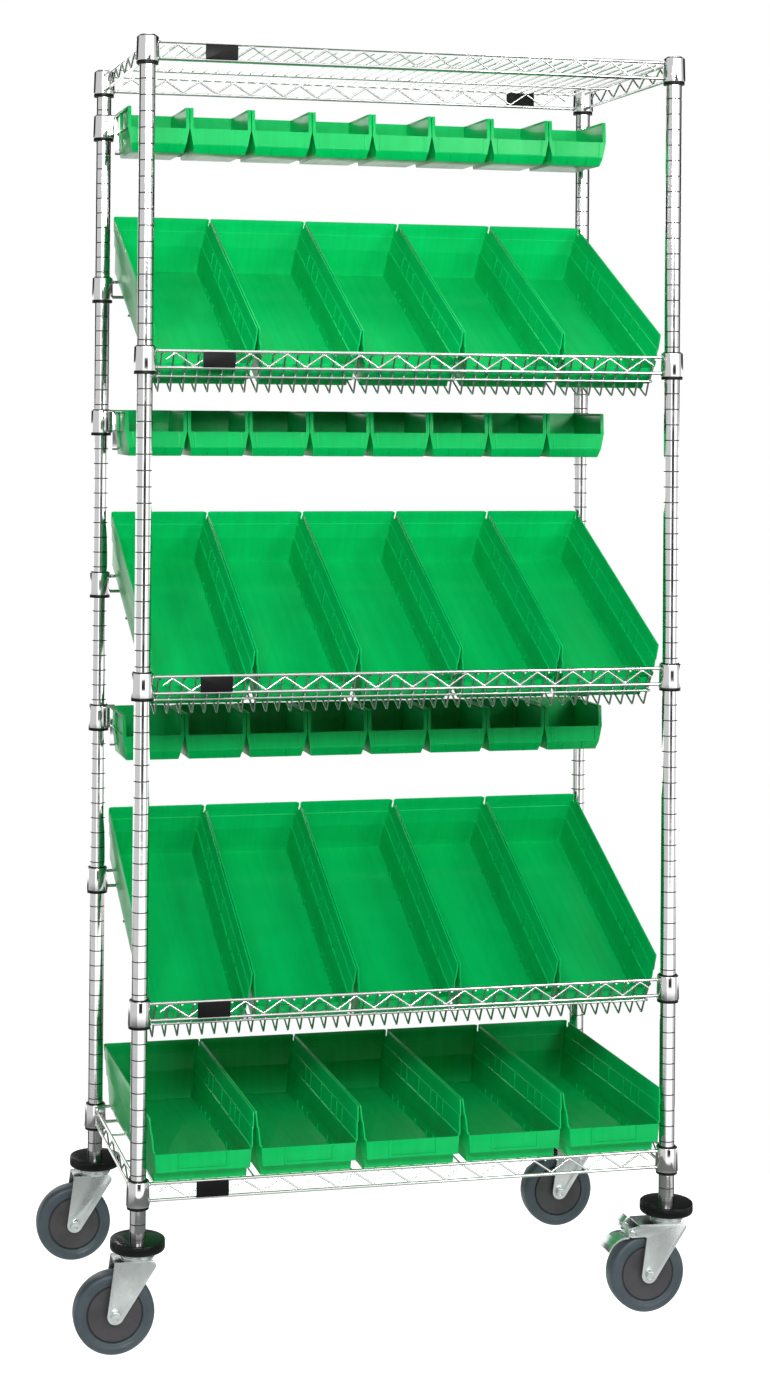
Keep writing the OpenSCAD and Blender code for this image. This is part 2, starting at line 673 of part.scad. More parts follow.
// Bumper discs between the posts and the casters
module bumpers() {
    r = bumper_d / 2;
    low_r = bumper_t / 4;
    top_r = bumper_t / 3;
    crown = 0.6;
    color(black) at_corners() translate([0, 0, bumper_z]) rotate_extrude($fn = 64)
        polygon(concat([[stem_d / 2 + fit, 0]], arc([r - low_r, low_r], low_r, 270, 360, 3),
            arc([r - top_r, bumper_t - top_r - crown], top_r, 0, 80, 4),
            [[post_d / 2 + 1, bumper_t - weld], [stem_d / 2 + fit, bumper_t - weld]]));
}

// Swivel fork, with its swivel axis at the origin and its wheel trailing towards -X
leg_round = 13;
fork_left = -trail - 2;
fork_right = 26;
module leg_outline() {
    hull() {
        translate([-trail, axle_z]) circle(r = leg_round, $fn = 32);
        translate([fork_left + 1, fork_top - 1]) circle(r = 1, $fn = 24);
        translate([fork_right - 8, fork_top - 8]) circle(r = 8, $fn = 32);
    }
}

// Arm that carries the brake pin, blended into the leg by a round inner corner
module brake_arm_outline() {
    tip = -brake_pin_x - arm_end;
    translate([-brake_pin_x, brake_pin_z]) circle(r = arm_end, $fn = 32);
    polygon([[-brake_pin_x, brake_pin_z - arm_end], [fork_left + 6, brake_pin_z - arm_end],
        [fork_left + 6, fork_top], [fork_left, fork_top], [-brake_pin_x, brake_pin_z + arm_end]]);
    difference() {
        translate([fork_left - arm_end, brake_pin_z - 2 * arm_end]) square([2 * arm_end, arm_end + 1]);
        translate([fork_left - arm_end, brake_pin_z - 2 * arm_end]) circle(r = arm_end, $fn = 32);
    }
}

// Raceway on top of the fork: two pressed rings with a groove between them
module swivel_head(height) {
    r = swivel_d / 2;
    groove = height / 5;
    translate([0, 0, fork_top]) rotate_extrude($fn = 48) polygon([
        [0, -fork_t / 2], [r - groove, -fork_t / 2], [r - groove, 0], [r, groove], [r, 2 * groove],
        [r - groove, 2.2 * groove], [r - groove, 2.8 * groove], [r - groove / 2, 3 * groove],
        [r - groove / 2, height - groove], [r - 1.5 * groove, height], [0, height]]);
}

module fork(braked) {
    color(zinc) {
        for (s = [-1, 1]) translate([0, s * (leg_out - fork_t / 2), 0]) rotate([90, 0, 0])
            linear_extrude(fork_t, center = true) difference() {
                union() { leg_outline(); if (braked) brake_arm_outline(); }
                translate([-trail, axle_z]) circle(d = axle_d + 2 * weld, $fn = 32);
                if (braked) translate([-brake_pin_x, brake_pin_z])
                    circle(d = brake_pin_d + 2 * weld, $fn = 32);
            }
        difference() {
            union() {
                top_left = braked ? fork_left - 16 : fork_left;
                translate([top_left, -leg_out, fork_top - fork_t])
                    cube([fork_right - top_left - 8, 2 * leg_out, fork_t]);
                translate([0, 0, fork_top - fork_t]) cylinder(h = fork_t, r = leg_out, $fn = 48);
                swivel_head(bumper_z - fork_top - run);
            }
            translate([0, 0, fork_top - 2 * fork_t]) cylinder(h = bumper_z, d = stem_d + 2 * run, $fn = 32);
        }
        translate([-trail, 0, axle_z]) {
            along_y(2 * leg_out + 14, axle_d);
            for (s = [-1, 1]) translate([0, s * (leg_out + weld + 3.5), 0]) rotate([90, 0, 0])
                difference() {
                    cylinder(h = 7, d = 16, center = true, $fn = 6);
                    cylinder(h = 9, d = axle_d - 0.5, center = true, $fn = 32);
                }
        }
    }
}

// Half of a wheel's outline, [radius, -distance from its middle], and its mirror image
function both_sides(half) = concat(half, [for (i = [len(half) - 1 : -1 : 0]) [half[i][0], -half[i][1]]]);

// Wheel: a soft tread round a dished hub disc with a raised ring, on the axle line
module wheel() {
    r = wheel_d / 2;
    h = hub_d / 2;
    side = -wheel_w / 2;
    shoulder = wheel_w / 4;
    translate([-trail, 0, axle_z]) rotate([90, 0, 0]) {
        color(rubber) rotate_extrude($fn = 96) polygon(both_sides(concat(
            [[h + weld, side + 4], [h + 5, side + 1]],
            arc([r - shoulder, side + shoulder], shoulder, 270, 330, 4), [[r, side + shoulder + 2]])));
        color(hub_grey) rotate_extrude($fn = 96) polygon(both_sides([
            [axle_d / 2 + run / 2, -fork_gap / 2 + run], [hub_boss_d / 2 - 0.5, -fork_gap / 2 + run],
            [hub_boss_d / 2, side + 2 + hub_dish], [h - hub_ring_in, side + 2 + hub_dish],
            [h - hub_ring_in + 1, side + 2], [h - 1.5, side + 2], [h, side + 3.5]]));
    }
}

// Sheet bent along points in the XZ plane, as an outline
module sheet_outline(points, t) {
    for (i = [0 : len(points) - 2]) {
        run_to = points[i + 1] - points[i];
        translate(points[i]) rotate(atan2(run_to[1], run_to[0]))
            translate([0, -t / 2]) square([norm(run_to), t]);
        translate(points[i + 1]) circle(d = t, $fn = 24);
    }
}

// Brake lever: a rocker on a pin through the fork arms, with a curved pedal out past the
// wheel and a folded release tab above the pin
pedal_r = 34;
module brake_lever() {
    pin = [-brake_pin_x, brake_pin_z];
    pedal_centre = pin + [-8, -pedal_r - 9];
    pedal = [for (a = [85 : 12 : 157]) pedal_centre + pedal_r * [cos(a), sin(a)]];
    tab_fold = pin + [-13, 13];
    color(zinc) {
        translate([pin[0], 0, pin[1]]) along_y(2 * leg_out + 6, brake_pin_d);
        rotate([90, 0, 0]) {
            linear_extrude(brake_w, center = true) difference() {
                union() {
                    translate(pin) circle(r = brake_pin_d / 2 + brake_t, $fn = 32);
                    sheet_outline([pin + [0, -brake_pin_d / 2 - brake_t / 2], pedal[0]], brake_t);
                }
                translate(pin) circle(d = brake_pin_d + 2 * weld, $fn = 32);
            }
            linear_extrude(pedal_w, center = true) sheet_outline(pedal, brake_t);
            linear_extrude(pedal_w / 2, center = true) difference() {
                sheet_outline([pin, tab_fold, tab_fold + [8, 8]], brake_t);
                translate(pin) circle(d = brake_pin_d + 2 * weld, $fn = 32);
            }
        }
    }
}

module bin_on_slant(tier, i) {
    along = mat_wire_d / 2 + run + holder_t;
    at = fold + along * uphill + (mat_wire_d / 2 + run) * off_mat;
    translate([bin_x[i], at[0], level_z(slant_levels[tier]) + at[1]]) rotate([slope, 0, 0]) shelf_bin();
}

module bin_on_flat(i) {
    z = level_z(0) + truss_top + rail_wire_d / 2 + run;
    translate([bin_x[i], -half_y - bin_setback, z]) shelf_bin();
}

module bin_on_rail(tier, i) {
    hang = rail_h - rail_drop + run + hop_wall - hop_h;
    translate([hop_x[i], plate_y - run - hop_back, level_z(rail_levels[tier]) + hang]) hopper_bin();
}

posts();
flat_shelves();
slanted_shelves();
bin_rails();
split_sleeves();
label_plates();
bumpers();
for (t = [0 : 2]) for (i = [0 : bins_per_shelf - 1])
    bin_on_slant(t, i);
for (i = [0 : bins_per_shelf - 1])
    bin_on_flat(i);
for (t = [0 : 2]) for (i = [0 : bins_per_rail - 1])
    bin_on_rail(t, i);
for (i = [0 : 3])
    translate([corners[i][0] * half_x, corners[i][1] * half_y, 0]) fork(i == 1);
for (i = [0 : 3])
    translate([corners[i][0] * half_x, corners[i][1] * half_y, 0]) wheel();
translate([half_x, -half_y, 0]) brake_lever();
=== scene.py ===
import json
import math
import bpy
import bmesh
from mathutils import Matrix, Vector


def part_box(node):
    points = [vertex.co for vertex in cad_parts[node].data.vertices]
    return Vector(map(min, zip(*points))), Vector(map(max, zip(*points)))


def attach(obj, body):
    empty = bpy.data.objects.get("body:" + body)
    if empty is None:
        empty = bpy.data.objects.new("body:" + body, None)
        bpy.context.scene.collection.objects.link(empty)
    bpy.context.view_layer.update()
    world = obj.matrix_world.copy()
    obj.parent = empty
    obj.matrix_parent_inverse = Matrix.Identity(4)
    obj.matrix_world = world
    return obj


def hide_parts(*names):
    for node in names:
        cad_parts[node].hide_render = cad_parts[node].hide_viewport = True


# Slanted shelf cart. Every size here is in millimetres; finishPiece turns a mesh to metres.
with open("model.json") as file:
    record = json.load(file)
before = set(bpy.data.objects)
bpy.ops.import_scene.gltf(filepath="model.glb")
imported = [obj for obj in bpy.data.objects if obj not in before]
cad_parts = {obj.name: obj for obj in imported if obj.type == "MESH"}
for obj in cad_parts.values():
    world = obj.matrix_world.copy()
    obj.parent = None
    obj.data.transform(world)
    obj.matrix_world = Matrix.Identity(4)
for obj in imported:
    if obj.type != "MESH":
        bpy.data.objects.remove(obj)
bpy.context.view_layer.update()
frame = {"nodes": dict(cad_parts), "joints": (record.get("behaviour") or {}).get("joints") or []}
mm = 0.001
near = 0.1  # places closer than this count as the same

joints = {joint["name"]: joint for joint in frame["joints"]}


def nodeBox(node):
    low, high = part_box(node)
    return low / mm, high / mm


cart = {
    "groovePitch": 25.4,
    "topLevel": 70,
    "slantLevels": {"upper": 51, "middle": 31, "lower": 11},
    "slantRise": 5,
    "railLevels": {"upper": 67, "middle": 47, "lower": 27},
    "binsPerShelf": 5,
    "binsPerRail": 8,
}
postX, postY = (abs(value) / mm for value in joints["front_left_swivel"]["pos_m"][:2])
bottomZ = nodeBox("split_sleeves")[0].z  # the lowest sleeve stands in the lowest groove used
liftAxis = Vector(joints["upper_shelf_bin_1_lift"]["axis"])
slope = math.atan2(-liftAxis.y, liftAxis.z)
corners = {"front_left": (-1, -1), "front_right": (1, -1), "rear_left": (-1, 1), "rear_right": (1, 1)}


def levelZ(level):
    return bottomZ + level * cart["groovePitch"]


# Small tools for meshes

def at(x, y, z):
    return Matrix.Translation((x, y, z))


def atCorners(z):
    return [at(sx * postX, sy * postY, z) for sx, sy in corners.values()]


def turned(degrees, axis):
    return Matrix.Rotation(math.radians(degrees), 4, axis)


def mirrored(axis):
    return Matrix.Diagonal([-1 if axis == a else 1 for a in "XYZ"] + [1])


def vertsIn(geom):
    return [g for g in geom if isinstance(g, bmesh.types.BMVert)]


def edgesIn(geom):
    return [g for g in geom if isinstance(g, bmesh.types.BMEdge)]


def toMesh(bm):
    mesh = bpy.data.meshes.new("part")
    bm.to_mesh(mesh)
    bm.free()
    return mesh


def stamp(bm, mesh, *places):  # adds the mesh at each place, or once where it is
    for place in places or (Matrix(),):
        copy = mesh.copy()
        copy.transform(place)
        if place.determinant() < 0:
            copy.flip_normals()
        bm.from_mesh(copy)
        bpy.data.meshes.remove(copy)


def softenEdges(bm, width, steepest=50, segments=2, keep=lambda edge: True):
    steep = math.radians(steepest)
    edges = [e for e in bm.edges if e.is_manifold and e.calc_face_angle(0) > steep and keep(e)]
    bmesh.ops.bevel(bm, geom=edges, offset=width, offset_type="OFFSET", affect="EDGES",
                    segments=segments, profile=0.5, material=-1, clamp_overlap=True)


def finishPiece(name, bm, material, body, replaced=(), sharp=38):
    bmesh.ops.transform(bm, matrix=Matrix.Scale(mm, 4), verts=bm.verts)
    for edge in bm.edges:
        edge.smooth = edge.is_manifold and edge.calc_face_angle(0) < math.radians(sharp)
    mesh = bpy.data.meshes.new(name)
    bm.to_mesh(mesh)
    bm.free()
    mesh.polygons.foreach_set("use_smooth", [True] * len(mesh.polygons))
    mesh.materials.append(material)
    piece = bpy.data.objects.new(name, mesh)
    bpy.context.scene.collection.objects.link(piece)
    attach(piece, body)
    if replaced:
        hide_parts(*replaced)
    return piece


def lathe(profile, steps=48, closed=True, merge=0.001):  # profile is [radius, height], turned round Z
    bm = bmesh.new()
    verts = [bm.verts.new((radius, 0, height)) for radius, height in profile]
    edges = [bm.edges.new(pair) for pair in zip(verts, verts[1:])]
    if closed:
        edges.append(bm.edges.new((verts[-1], verts[0])))
    bmesh.ops.spin(bm, geom=verts + edges, cent=(0, 0, 0), axis=(0, 0, 1), angle=math.tau,
                   steps=steps, use_merge=True)
    bmesh.ops.remove_doubles(bm, verts=bm.verts, dist=merge)
    bmesh.ops.recalc_face_normals(bm, faces=bm.faces)
    return toMesh(bm)


def arc(centre, radius, start, end, steps=4):
    angles = [math.radians(start + (end - start) * i / steps) for i in range(steps + 1)]
    return [(centre[0] + radius * math.cos(a), centre[1] + radius * math.sin(a)) for a in angles]


def bothSides(half):  # a wheel's profile from one side's half of it
    return half + [(radius, -z) for radius, z in reversed(half)]


def block(size, soften):
    bm = bmesh.new()
    bmesh.ops.create_cube(bm, size=1, matrix=Matrix.Diagonal((*size, 1)))
    softenEdges(bm, soften)
    return toMesh(bm)


def extruded(outline, depth, soften=0.0):  # [x, z] outline, drawn out along Y from 0
    bm = bmesh.new()
    face = bm.faces.new([bm.verts.new((x, 0, z)) for x, z in outline])
    made = bmesh.ops.extrude_face_region(bm, geom=[face])
    bmesh.ops.translate(bm, vec=(0, depth, 0), verts=vertsIn(made["geom"]))
    bmesh.ops.recalc_face_normals(bm, faces=bm.faces)
    if soften:
        softenEdges(bm, soften)
    return toMesh(bm)


def uFrame(width, height, rim, depth, soften=0.3):  # a frame that is open at the top
    x, inner = width / 2, width / 2 - rim
    outline = [(-x, 0), (x, 0), (x, height), (inner, height), (inner, rim),
               (-inner, rim), (-inner, height), (-x, height)]
    return extruded(outline, depth, soften=soften)


def bentWire(points, wireD, bendR=0.0, sides=12, steps=3):
    points = [Vector(p) for p in points]
    runs = [(b - a).normalized() for a, b in zip(points, points[1:])]
    bm = bmesh.new()
    facing = Vector((0, 0, 1)).rotation_difference(runs[0]).to_matrix().to_4x4()
    made = bmesh.ops.create_circle(bm, radius=wireD / 2, segments=sides,
                                   matrix=Matrix.Translation(points[0]) @ facing)
    ring = list({e for v in made["verts"] for e in v.link_edges})
    starting = ring
    here = points[0]
    for i, run in enumerate(runs):
        last = i == len(runs) - 1
        turn = 0 if last else run.angle(runs[i + 1])
        reach = bendR * math.tan(turn / 2)
        target = points[i + 1] - reach * run
        made = bmesh.ops.extrude_edge_only(bm, edges=ring)["geom"]
        verts = vertsIn(made)
        ring = [e for e in edgesIn(made) if all(v in verts for v in e.verts)]
        bmesh.ops.translate(bm, vec=target - here, verts=verts)
        here = target
        if not last:
            axis = run.cross(runs[i + 1]).normalized()
            centre = here + bendR * axis.cross(run)
            made = bmesh.ops.spin(bm, geom=ring, cent=centre, axis=axis, angle=turn, steps=steps)
            ring = edgesIn(made["geom_last"])
            here = points[i + 1] + reach * runs[i + 1]
    for loop in (starting, ring):
        bmesh.ops.contextual_create(bm, geom=loop)
    bmesh.ops.recalc_face_normals(bm, faces=bm.faces)
    return toMesh(bm)


def copyOfNode(node, soften, merge=0.003, flat=0.5):  # a merged copy of a CAD node, its edges softened
    bm = bmesh.new()
    bm.from_mesh(frame["nodes"][node].data)
    bmesh.ops.transform(bm, matrix=Matrix.Scale(1 / mm, 4), verts=bm.verts)
    bmesh.ops.remove_doubles(bm, verts=bm.verts, dist=merge)
    bmesh.ops.dissolve_limit(bm, angle_limit=math.radians(flat), verts=bm.verts, edges=bm.edges)
    softenEdges(bm, soften, steepest=40)
    return bm


# Materials

def hexColour(code):
    shares = [int(code[i:i + 2], 16) / 255 for i in (0, 2, 4)]
    linear = [c / 12.92 if c <= 0.04045 else ((c + 0.055) / 1.055) ** 2.4 for c in shares]
    return (*linear, 1)


def grey(value):
    return (value, value, value, 1)


def addNode(tree, kind, settings=None, links=None):
    node = tree.nodes.new(kind)
    for key, value in (settings or {}).items():
        if key == "stops":  # the colours along a ramp, as [position, colour]
            elements = node.color_ramp.elements
            while len(elements) < len(value):
                elements.new(0.5)
            for element, (position, colour) in zip(elements, value):
                element.position = position
                element.color = colour
        elif isinstance(key, int) or key in node.inputs:
            node.inputs[key].default_value = value
        else:
            setattr(node, key, value)
    for key, source in (links or {}).items():
        tree.links.new(source, node.inputs[key])
    return node


def startMaterial(name):
    material = bpy.data.materials.new(name)
    material.use_nodes = True
    tree = material.node_tree
    shader = tree.nodes["Principled BSDF"]
    coords = addNode(tree, "ShaderNodeTexCoord")
    return material, tree, shader, coords.outputs["Object"]


# grooveShadeColour is painted shade for the faces inside the post grooves
chromeFinish = {"colour": "DADBDA", "grooveShadeColour": "46484B", "rough": 0.06, "grooveRough": 0.35,
                "roughSpan": 0.1, "cloudMm": 30, "waveMm": 9, "waveDeep": 0.4, "waveStrength": 0.12}


def makeChromePlate(name, colour, roughLow):
    # Chrome plate over drawn steel: a bright, neutral mirror that ripples a little
    material, tree, shader, place = startMaterial(name)
    roughHigh = roughLow + chromeFinish["roughSpan"]
    clouds = addNode(tree, "ShaderNodeTexNoise", {"Scale": 1000 / chromeFinish["cloudMm"], "Detail": 3},
                     {"Vector": place})
    rough = addNode(tree, "ShaderNodeValToRGB", {"stops": [(0.35, grey(roughLow)), (0.7, grey(roughHigh))]},
                    {"Fac": clouds.outputs["Fac"]})
    ripple = addNode(tree, "ShaderNodeTexNoise", {"Scale": 1000 / chromeFinish["waveMm"], "Detail": 2},
                     {"Vector": place})
    bump = addNode(tree, "ShaderNodeBump", {"Strength": chromeFinish["waveStrength"],
                                            "Distance": chromeFinish["waveDeep"] * mm},
                   {"Height": ripple.outputs["Fac"]})
    shader.inputs["Base Color"].default_value = hexColour(colour)
    shader.inputs["Metallic"].default_value = 1
    tree.links.new(rough.outputs["Color"], shader.inputs["Roughness"])
    tree.links.new(bump.outputs["Normal"], shader.inputs["Normal"])
    return material


zincFinish = {"light": "DDE2E0", "dark": "C3CAC8", "rough": (0.24, 0.34), "spangleMm": 22,
              "grainMm": 0.8, "grainDeep": 0.2, "grainStrength": 0.1}


def makeZincPlate():
    # Bright zinc on pressed steel: softly clouded grey with a satin sheen
    material, tree, shader, place = startMaterial("zincPlate")
    low, high = zincFinish["rough"]
    spangle = addNode(tree, "ShaderNodeTexNoise", {"Scale": 1000 / zincFinish["spangleMm"], "Detail": 5},
                      {"Vector": place}).outputs["Fac"]
    colour = addNode(tree, "ShaderNodeValToRGB", {"stops": [(0.3, hexColour(zincFinish["dark"])),
                                                            (0.7, hexColour(zincFinish["light"]))]},
                     {"Fac": spangle})
    rough = addNode(tree, "ShaderNodeValToRGB", {"stops": [(0.3, grey(high)), (0.7, grey(low))]},
                    {"Fac": spangle})
    grain = addNode(tree, "ShaderNodeTexNoise", {"Scale": 1000 / zincFinish["grainMm"], "Detail": 2},
                    {"Vector": place})
    bump = addNode(tree, "ShaderNodeBump", {"Strength": zincFinish["grainStrength"],
                                            "Distance": zincFinish["grainDeep"] * mm},
                   {"Height": grain.outputs["Fac"]})
    shader.inputs["Metallic"].default_value = 1
    tree.links.new(colour.outputs["Color"], shader.inputs["Base Color"])
    tree.links.new(rough.outputs["Color"], shader.inputs["Roughness"])
    tree.links.new(bump.outputs["Normal"], shader.inputs["Normal"])
    return material


mouldings = {
    # Injection-moulded polypropylene: clear green, satin, and like a mirror only at a glance along it
    "greenPolypropylene": {"light": "02B85C", "dark": "01AC54", "rough": (0.3, 0.42), "cloudMm": 60,
                           "grainMm": 1.6, "grainDeep": 0.04, "gloss": 0.12, "coat": 0.22,
                           "streakMm": (9, 260, 90)},
    # Nylon of the sleeves: black, dull
    "blackNylon": {"light": "121214", "dark": "0B0B0C", "rough": (0.4, 0.5), "cloudMm": 25,
                   "grainMm": 0.7, "grainDeep": 0.05, "gloss": 0.15},
    # Styrene of the label plates: black, smooth and dull
    "blackLabelPlastic": {"light": "0E0E10", "dark": "09090A", "rough": (0.4, 0.5), "cloudMm": 25,
                          "grainMm": 0.7, "grainDeep": 0.03, "gloss": 0.12},
    # Polished vinyl of the bumpers: black, with a wet shine
    "blackVinyl": {"light": "101312", "dark": "0A0C0B", "rough": (0.14, 0.24), "cloudMm": 40,
                   "grainMm": 3, "grainDeep": 0.04, "ior": 1.35, "gloss": 0.3},
    # Grey thermoplastic rubber: blue-grey, with a soft shine on the shoulder
    "greyTreadRubber": {"light": "3D494F", "dark": "344046", "rough": (0.38, 0.5), "cloudMm": 30,
                        "grainMm": 0.9, "grainDeep": 0.06, "gloss": 0.4},
    # Glass-filled nylon of the hubs: neutral dark grey, matt
    "darkHubPlastic": {"light": "434244", "dark": "3A393B", "rough": (0.45, 0.55), "cloudMm": 30,
                       "grainMm": 0.8, "grainDeep": 0.05, "gloss": 0.25},
}
mouldedSkin = {"ior": 1.49, "coatIor": 1.3, "coatRough": 0.2, "grainStrength": 0.25}


def makeMoulded(name, finish):
    # Moulded plastic or rubber: a body colour that clouds slightly, and a fine tool texture
    material, tree, shader, place = startMaterial(name)
    cloud = addNode(tree, "ShaderNodeTexNoise", {"Scale": 1000 / finish["cloudMm"], "Detail": 4},
                    {"Vector": place}).outputs["Fac"]
    if "streakMm" in finish:  # the melt ran lengthwise, which leaves long faint streaks
        level = addNode(tree, "ShaderNodeMapping", {"Rotation": (-slope, 0, 0)}, {"Vector": place})
        drawn = addNode(tree, "ShaderNodeMapping", {"Scale": [1000 / size for size in finish["streakMm"]]},
                        {"Vector": level.outputs["Vector"]})
        streaks = addNode(tree, "ShaderNodeTexNoise", {"Scale": 1, "Detail": 2},
                          {"Vector": drawn.outputs["Vector"]})
        half = addNode(tree, "ShaderNodeMath", {"operation": "MULTIPLY", 1: 0.5}, {0: cloud})
        cloud = addNode(tree, "ShaderNodeMath", {"operation": "MULTIPLY_ADD", 1: 0.5},
                        {0: streaks.outputs["Fac"], 2: half.outputs[0]}).outputs[0]
    low, high = finish["rough"]
    colour = addNode(tree, "ShaderNodeValToRGB", {"stops": [(0.35, hexColour(finish["dark"])),
                                                            (0.65, hexColour(finish["light"]))]},
                     {"Fac": cloud})
    rough = addNode(tree, "ShaderNodeValToRGB", {"stops": [(0.35, grey(high)), (0.65, grey(low))]},
                    {"Fac": cloud})
    grain = addNode(tree, "ShaderNodeTexNoise", {"Scale": 1000 / finish["grainMm"], "Detail": 3},
                    {"Vector": place})
    bump = addNode(tree, "ShaderNodeBump", {"Strength": mouldedSkin["grainStrength"],
                                            "Distance": finish["grainDeep"] * mm},
                   {"Height": grain.outputs["Fac"]})
    shader.inputs["IOR"].default_value = finish.get("ior", mouldedSkin["ior"])
    shader.inputs["Specular IOR Level"].default_value = finish["gloss"]
    shader.inputs["Coat Weight"].default_value = finish.get("coat", 0)
    shader.inputs["Coat IOR"].default_value = mouldedSkin["coatIor"]
    shader.inputs["Coat Roughness"].default_value = mouldedSkin["coatRough"]
    tree.links.new(colour.outputs["Color"], shader.inputs["Base Color"])
    tree.links.new(rough.outputs["Color"], shader.inputs["Roughness"])
    tree.links.new(bump.outputs["Normal"], shader.inputs["Normal"])
    return material


print("materials")
chromePlate = makeChromePlate("chromePlate", chromeFinish["colour"], chromeFinish["rough"])
# The plate at the bottom of a groove, darker and duller: painted shade, a fine dark line round the post
grooveShadeChrome = makeChromePlate("grooveShadeChrome", chromeFinish["grooveShadeColour"],
                                   chromeFinish["grooveRough"])
zincPlate = makeZincPlate()
moulded = {name: makeMoulded(name, finish) for name, finish in mouldings.items()}


# Posts: grooved tubes with their end caps and caster stems
print("posts")
post = {
    "d": 25.4, "wall": 1.6,
    "grooveDepth": 0.5, "grooveH": 1.8, "grooveRise": 2.5, "grooveCurve": 0.8,
    "grooveShadeIn": 0.15, "levelFace": 0.95,
    "capT": 2, "capPlug": 10, "capPlugIn": 2, "capCrown": 0.1,
    "capRimIn": 0.2, "capRimLow": 0.1, "capRimR": 1.2, "capRimZ": 0.6,
    "stemD": 12.7, "stemDown": 3, "stemUp": 8,
}
bumper = {"d": 86, "t": 17.4, "z": 158, "boreRun": 0.2, "boreDrop": 0.1, "footIn": 5, "lowRound": 3.5,
          "topRound": 2.2, "topDrop": 0.7, "dishOut": 5, "dishDrop": 0.4}
postFoot = bumper["z"] + bumper["t"]
postTop = nodeBox("posts")[1].z - post["capT"]


def makePost():
    r, half = post["d"] / 2, post["grooveH"] / 2
    deep = r - post["grooveDepth"]
    curve = r - post["grooveCurve"] * post["grooveDepth"]
    profile = [(r - post["wall"], postFoot), (r, postFoot)]
    level = math.ceil((postFoot - bottomZ) / cart["groovePitch"])
    while levelZ(level) + post["grooveRise"] < postTop - post["grooveH"]:
        z = levelZ(level) + post["grooveRise"]
        if z > postFoot + post["grooveH"]:
            profile += [(r, z - half), (curve, z - half / 2), (deep, z), (curve, z + half / 2), (r, z + half)]
        level += 1
    profile += [(r, postTop), (r - post["wall"], postTop)]
    mesh = lathe(profile, steps=32)
    for face in mesh.polygons:  # the grooves' faces take the second material, which paints shade into them
        width = math.hypot(face.center.x, face.center.y)
        inGroove = deep - near < width < r - post["grooveShadeIn"]
        face.material_index = int(inGroove and abs(face.normal.z) < post["levelFace"])
    return mesh


def makePostCap():
    r, t = post["d"] / 2, post["capT"]
    plug, rim = r - post["capPlugIn"], r - post["capRimIn"]
    profile = [(0, -post["capPlug"]), (plug, -post["capPlug"]), (plug, 0), (rim, post["capRimLow"])]
    profile += arc((rim - post["capRimR"], post["capRimZ"]), post["capRimR"], 0, 90)
    return lathe(profile + [(r / 2, t - post["capCrown"]), (0, t)], steps=32, closed=False)


def makeStem():
    r, low, high = post["stemD"] / 2, bumper["z"] - post["stemDown"], postFoot + post["stemUp"]
    return lathe([(0, low), (r, low), (r, high), (0, high)], steps=24, closed=False)


bm = bmesh.new()
stamp(bm, makePost(), *atCorners(0))
stamp(bm, makeStem(), *atCorners(0))
postTubes = finishPiece("postTubes", bm, chromePlate, "cart", ["posts"])
# The second material paints shade into the grooves
postTubes.data.materials.append(grooveShadeChrome)
bm = bmesh.new()
stamp(bm, makePostCap(), *atCorners(postTop))
finishPiece("postCaps", bm, chromePlate, "cart")

# Sleeves keep their solids, with the split halves' edges softened
sleeves = copyOfNode("split_sleeves", soften=0.25)
finishPiece("sleeveHalves", sleeves, moulded["blackNylon"], "cart", ["split_sleeves"])


# Shelves: two rails and a zigzag wire for each truss, surface wires, cross wires and collars
print("shelves")
collar = {"dLow": 37, "dTop": 35, "h": 39, "low": 4.4, "bore": 15.7, "boreTaper": 1, "edge": 1.2}
shelf = {
    "railD": 5.2, "railSides": 16, "railSunk": 0.8, "zigD": 3.2, "matD": 3.2, "crossD": 4,
    "trussTop": 36.5, "trussLow": 10.5,
    "beadOutline": [(0, -3.4), (2.6, -2.6), (4.2, 0), (2.6, 2.6), (0, 3.4)], "beadFlat": 0.55, "beadIn": 0.6,
    "wave": 60, "tail": 15, "zigBend": 4, "bite": 0.3,
    "peakOver": 0.9,  # the bends round off the peaks, so the corners lie a little further out
    "matPitch": 20, "hookReach": 12, "stopLen": 67, "stopWireUp": 29, "matBend": 3, "crossOver": 4,
}
matDrop = (shelf["railD"] + shelf["matD"]) / 2
matCount = math.floor((2 * postX - collar["dLow"] - 2 * shelf["matD"]) / shelf["matPitch"]) + 1
matPlaces = [(i - (matCount - 1) / 2) * shelf["matPitch"] for i in range(matCount)]
uphill = Vector((0, math.cos(slope), math.sin(slope)))
offMat = Vector((0, -math.sin(slope), math.cos(slope)))


def makeCollar():
    low, high = collar["low"], collar["low"] + collar["h"]
    rLow, rTop, edge = collar["dLow"] / 2, collar["dTop"] / 2, collar["edge"]
    profile = [(collar["bore"], low)] + arc((rLow - edge, low + edge), edge, -90, 0, steps=3)
    profile += arc((rTop - edge, high - edge), edge, 0, 90, steps=3)
    profile.append((collar["bore"] - collar["boreTaper"], high))
    return lathe(profile, steps=40)


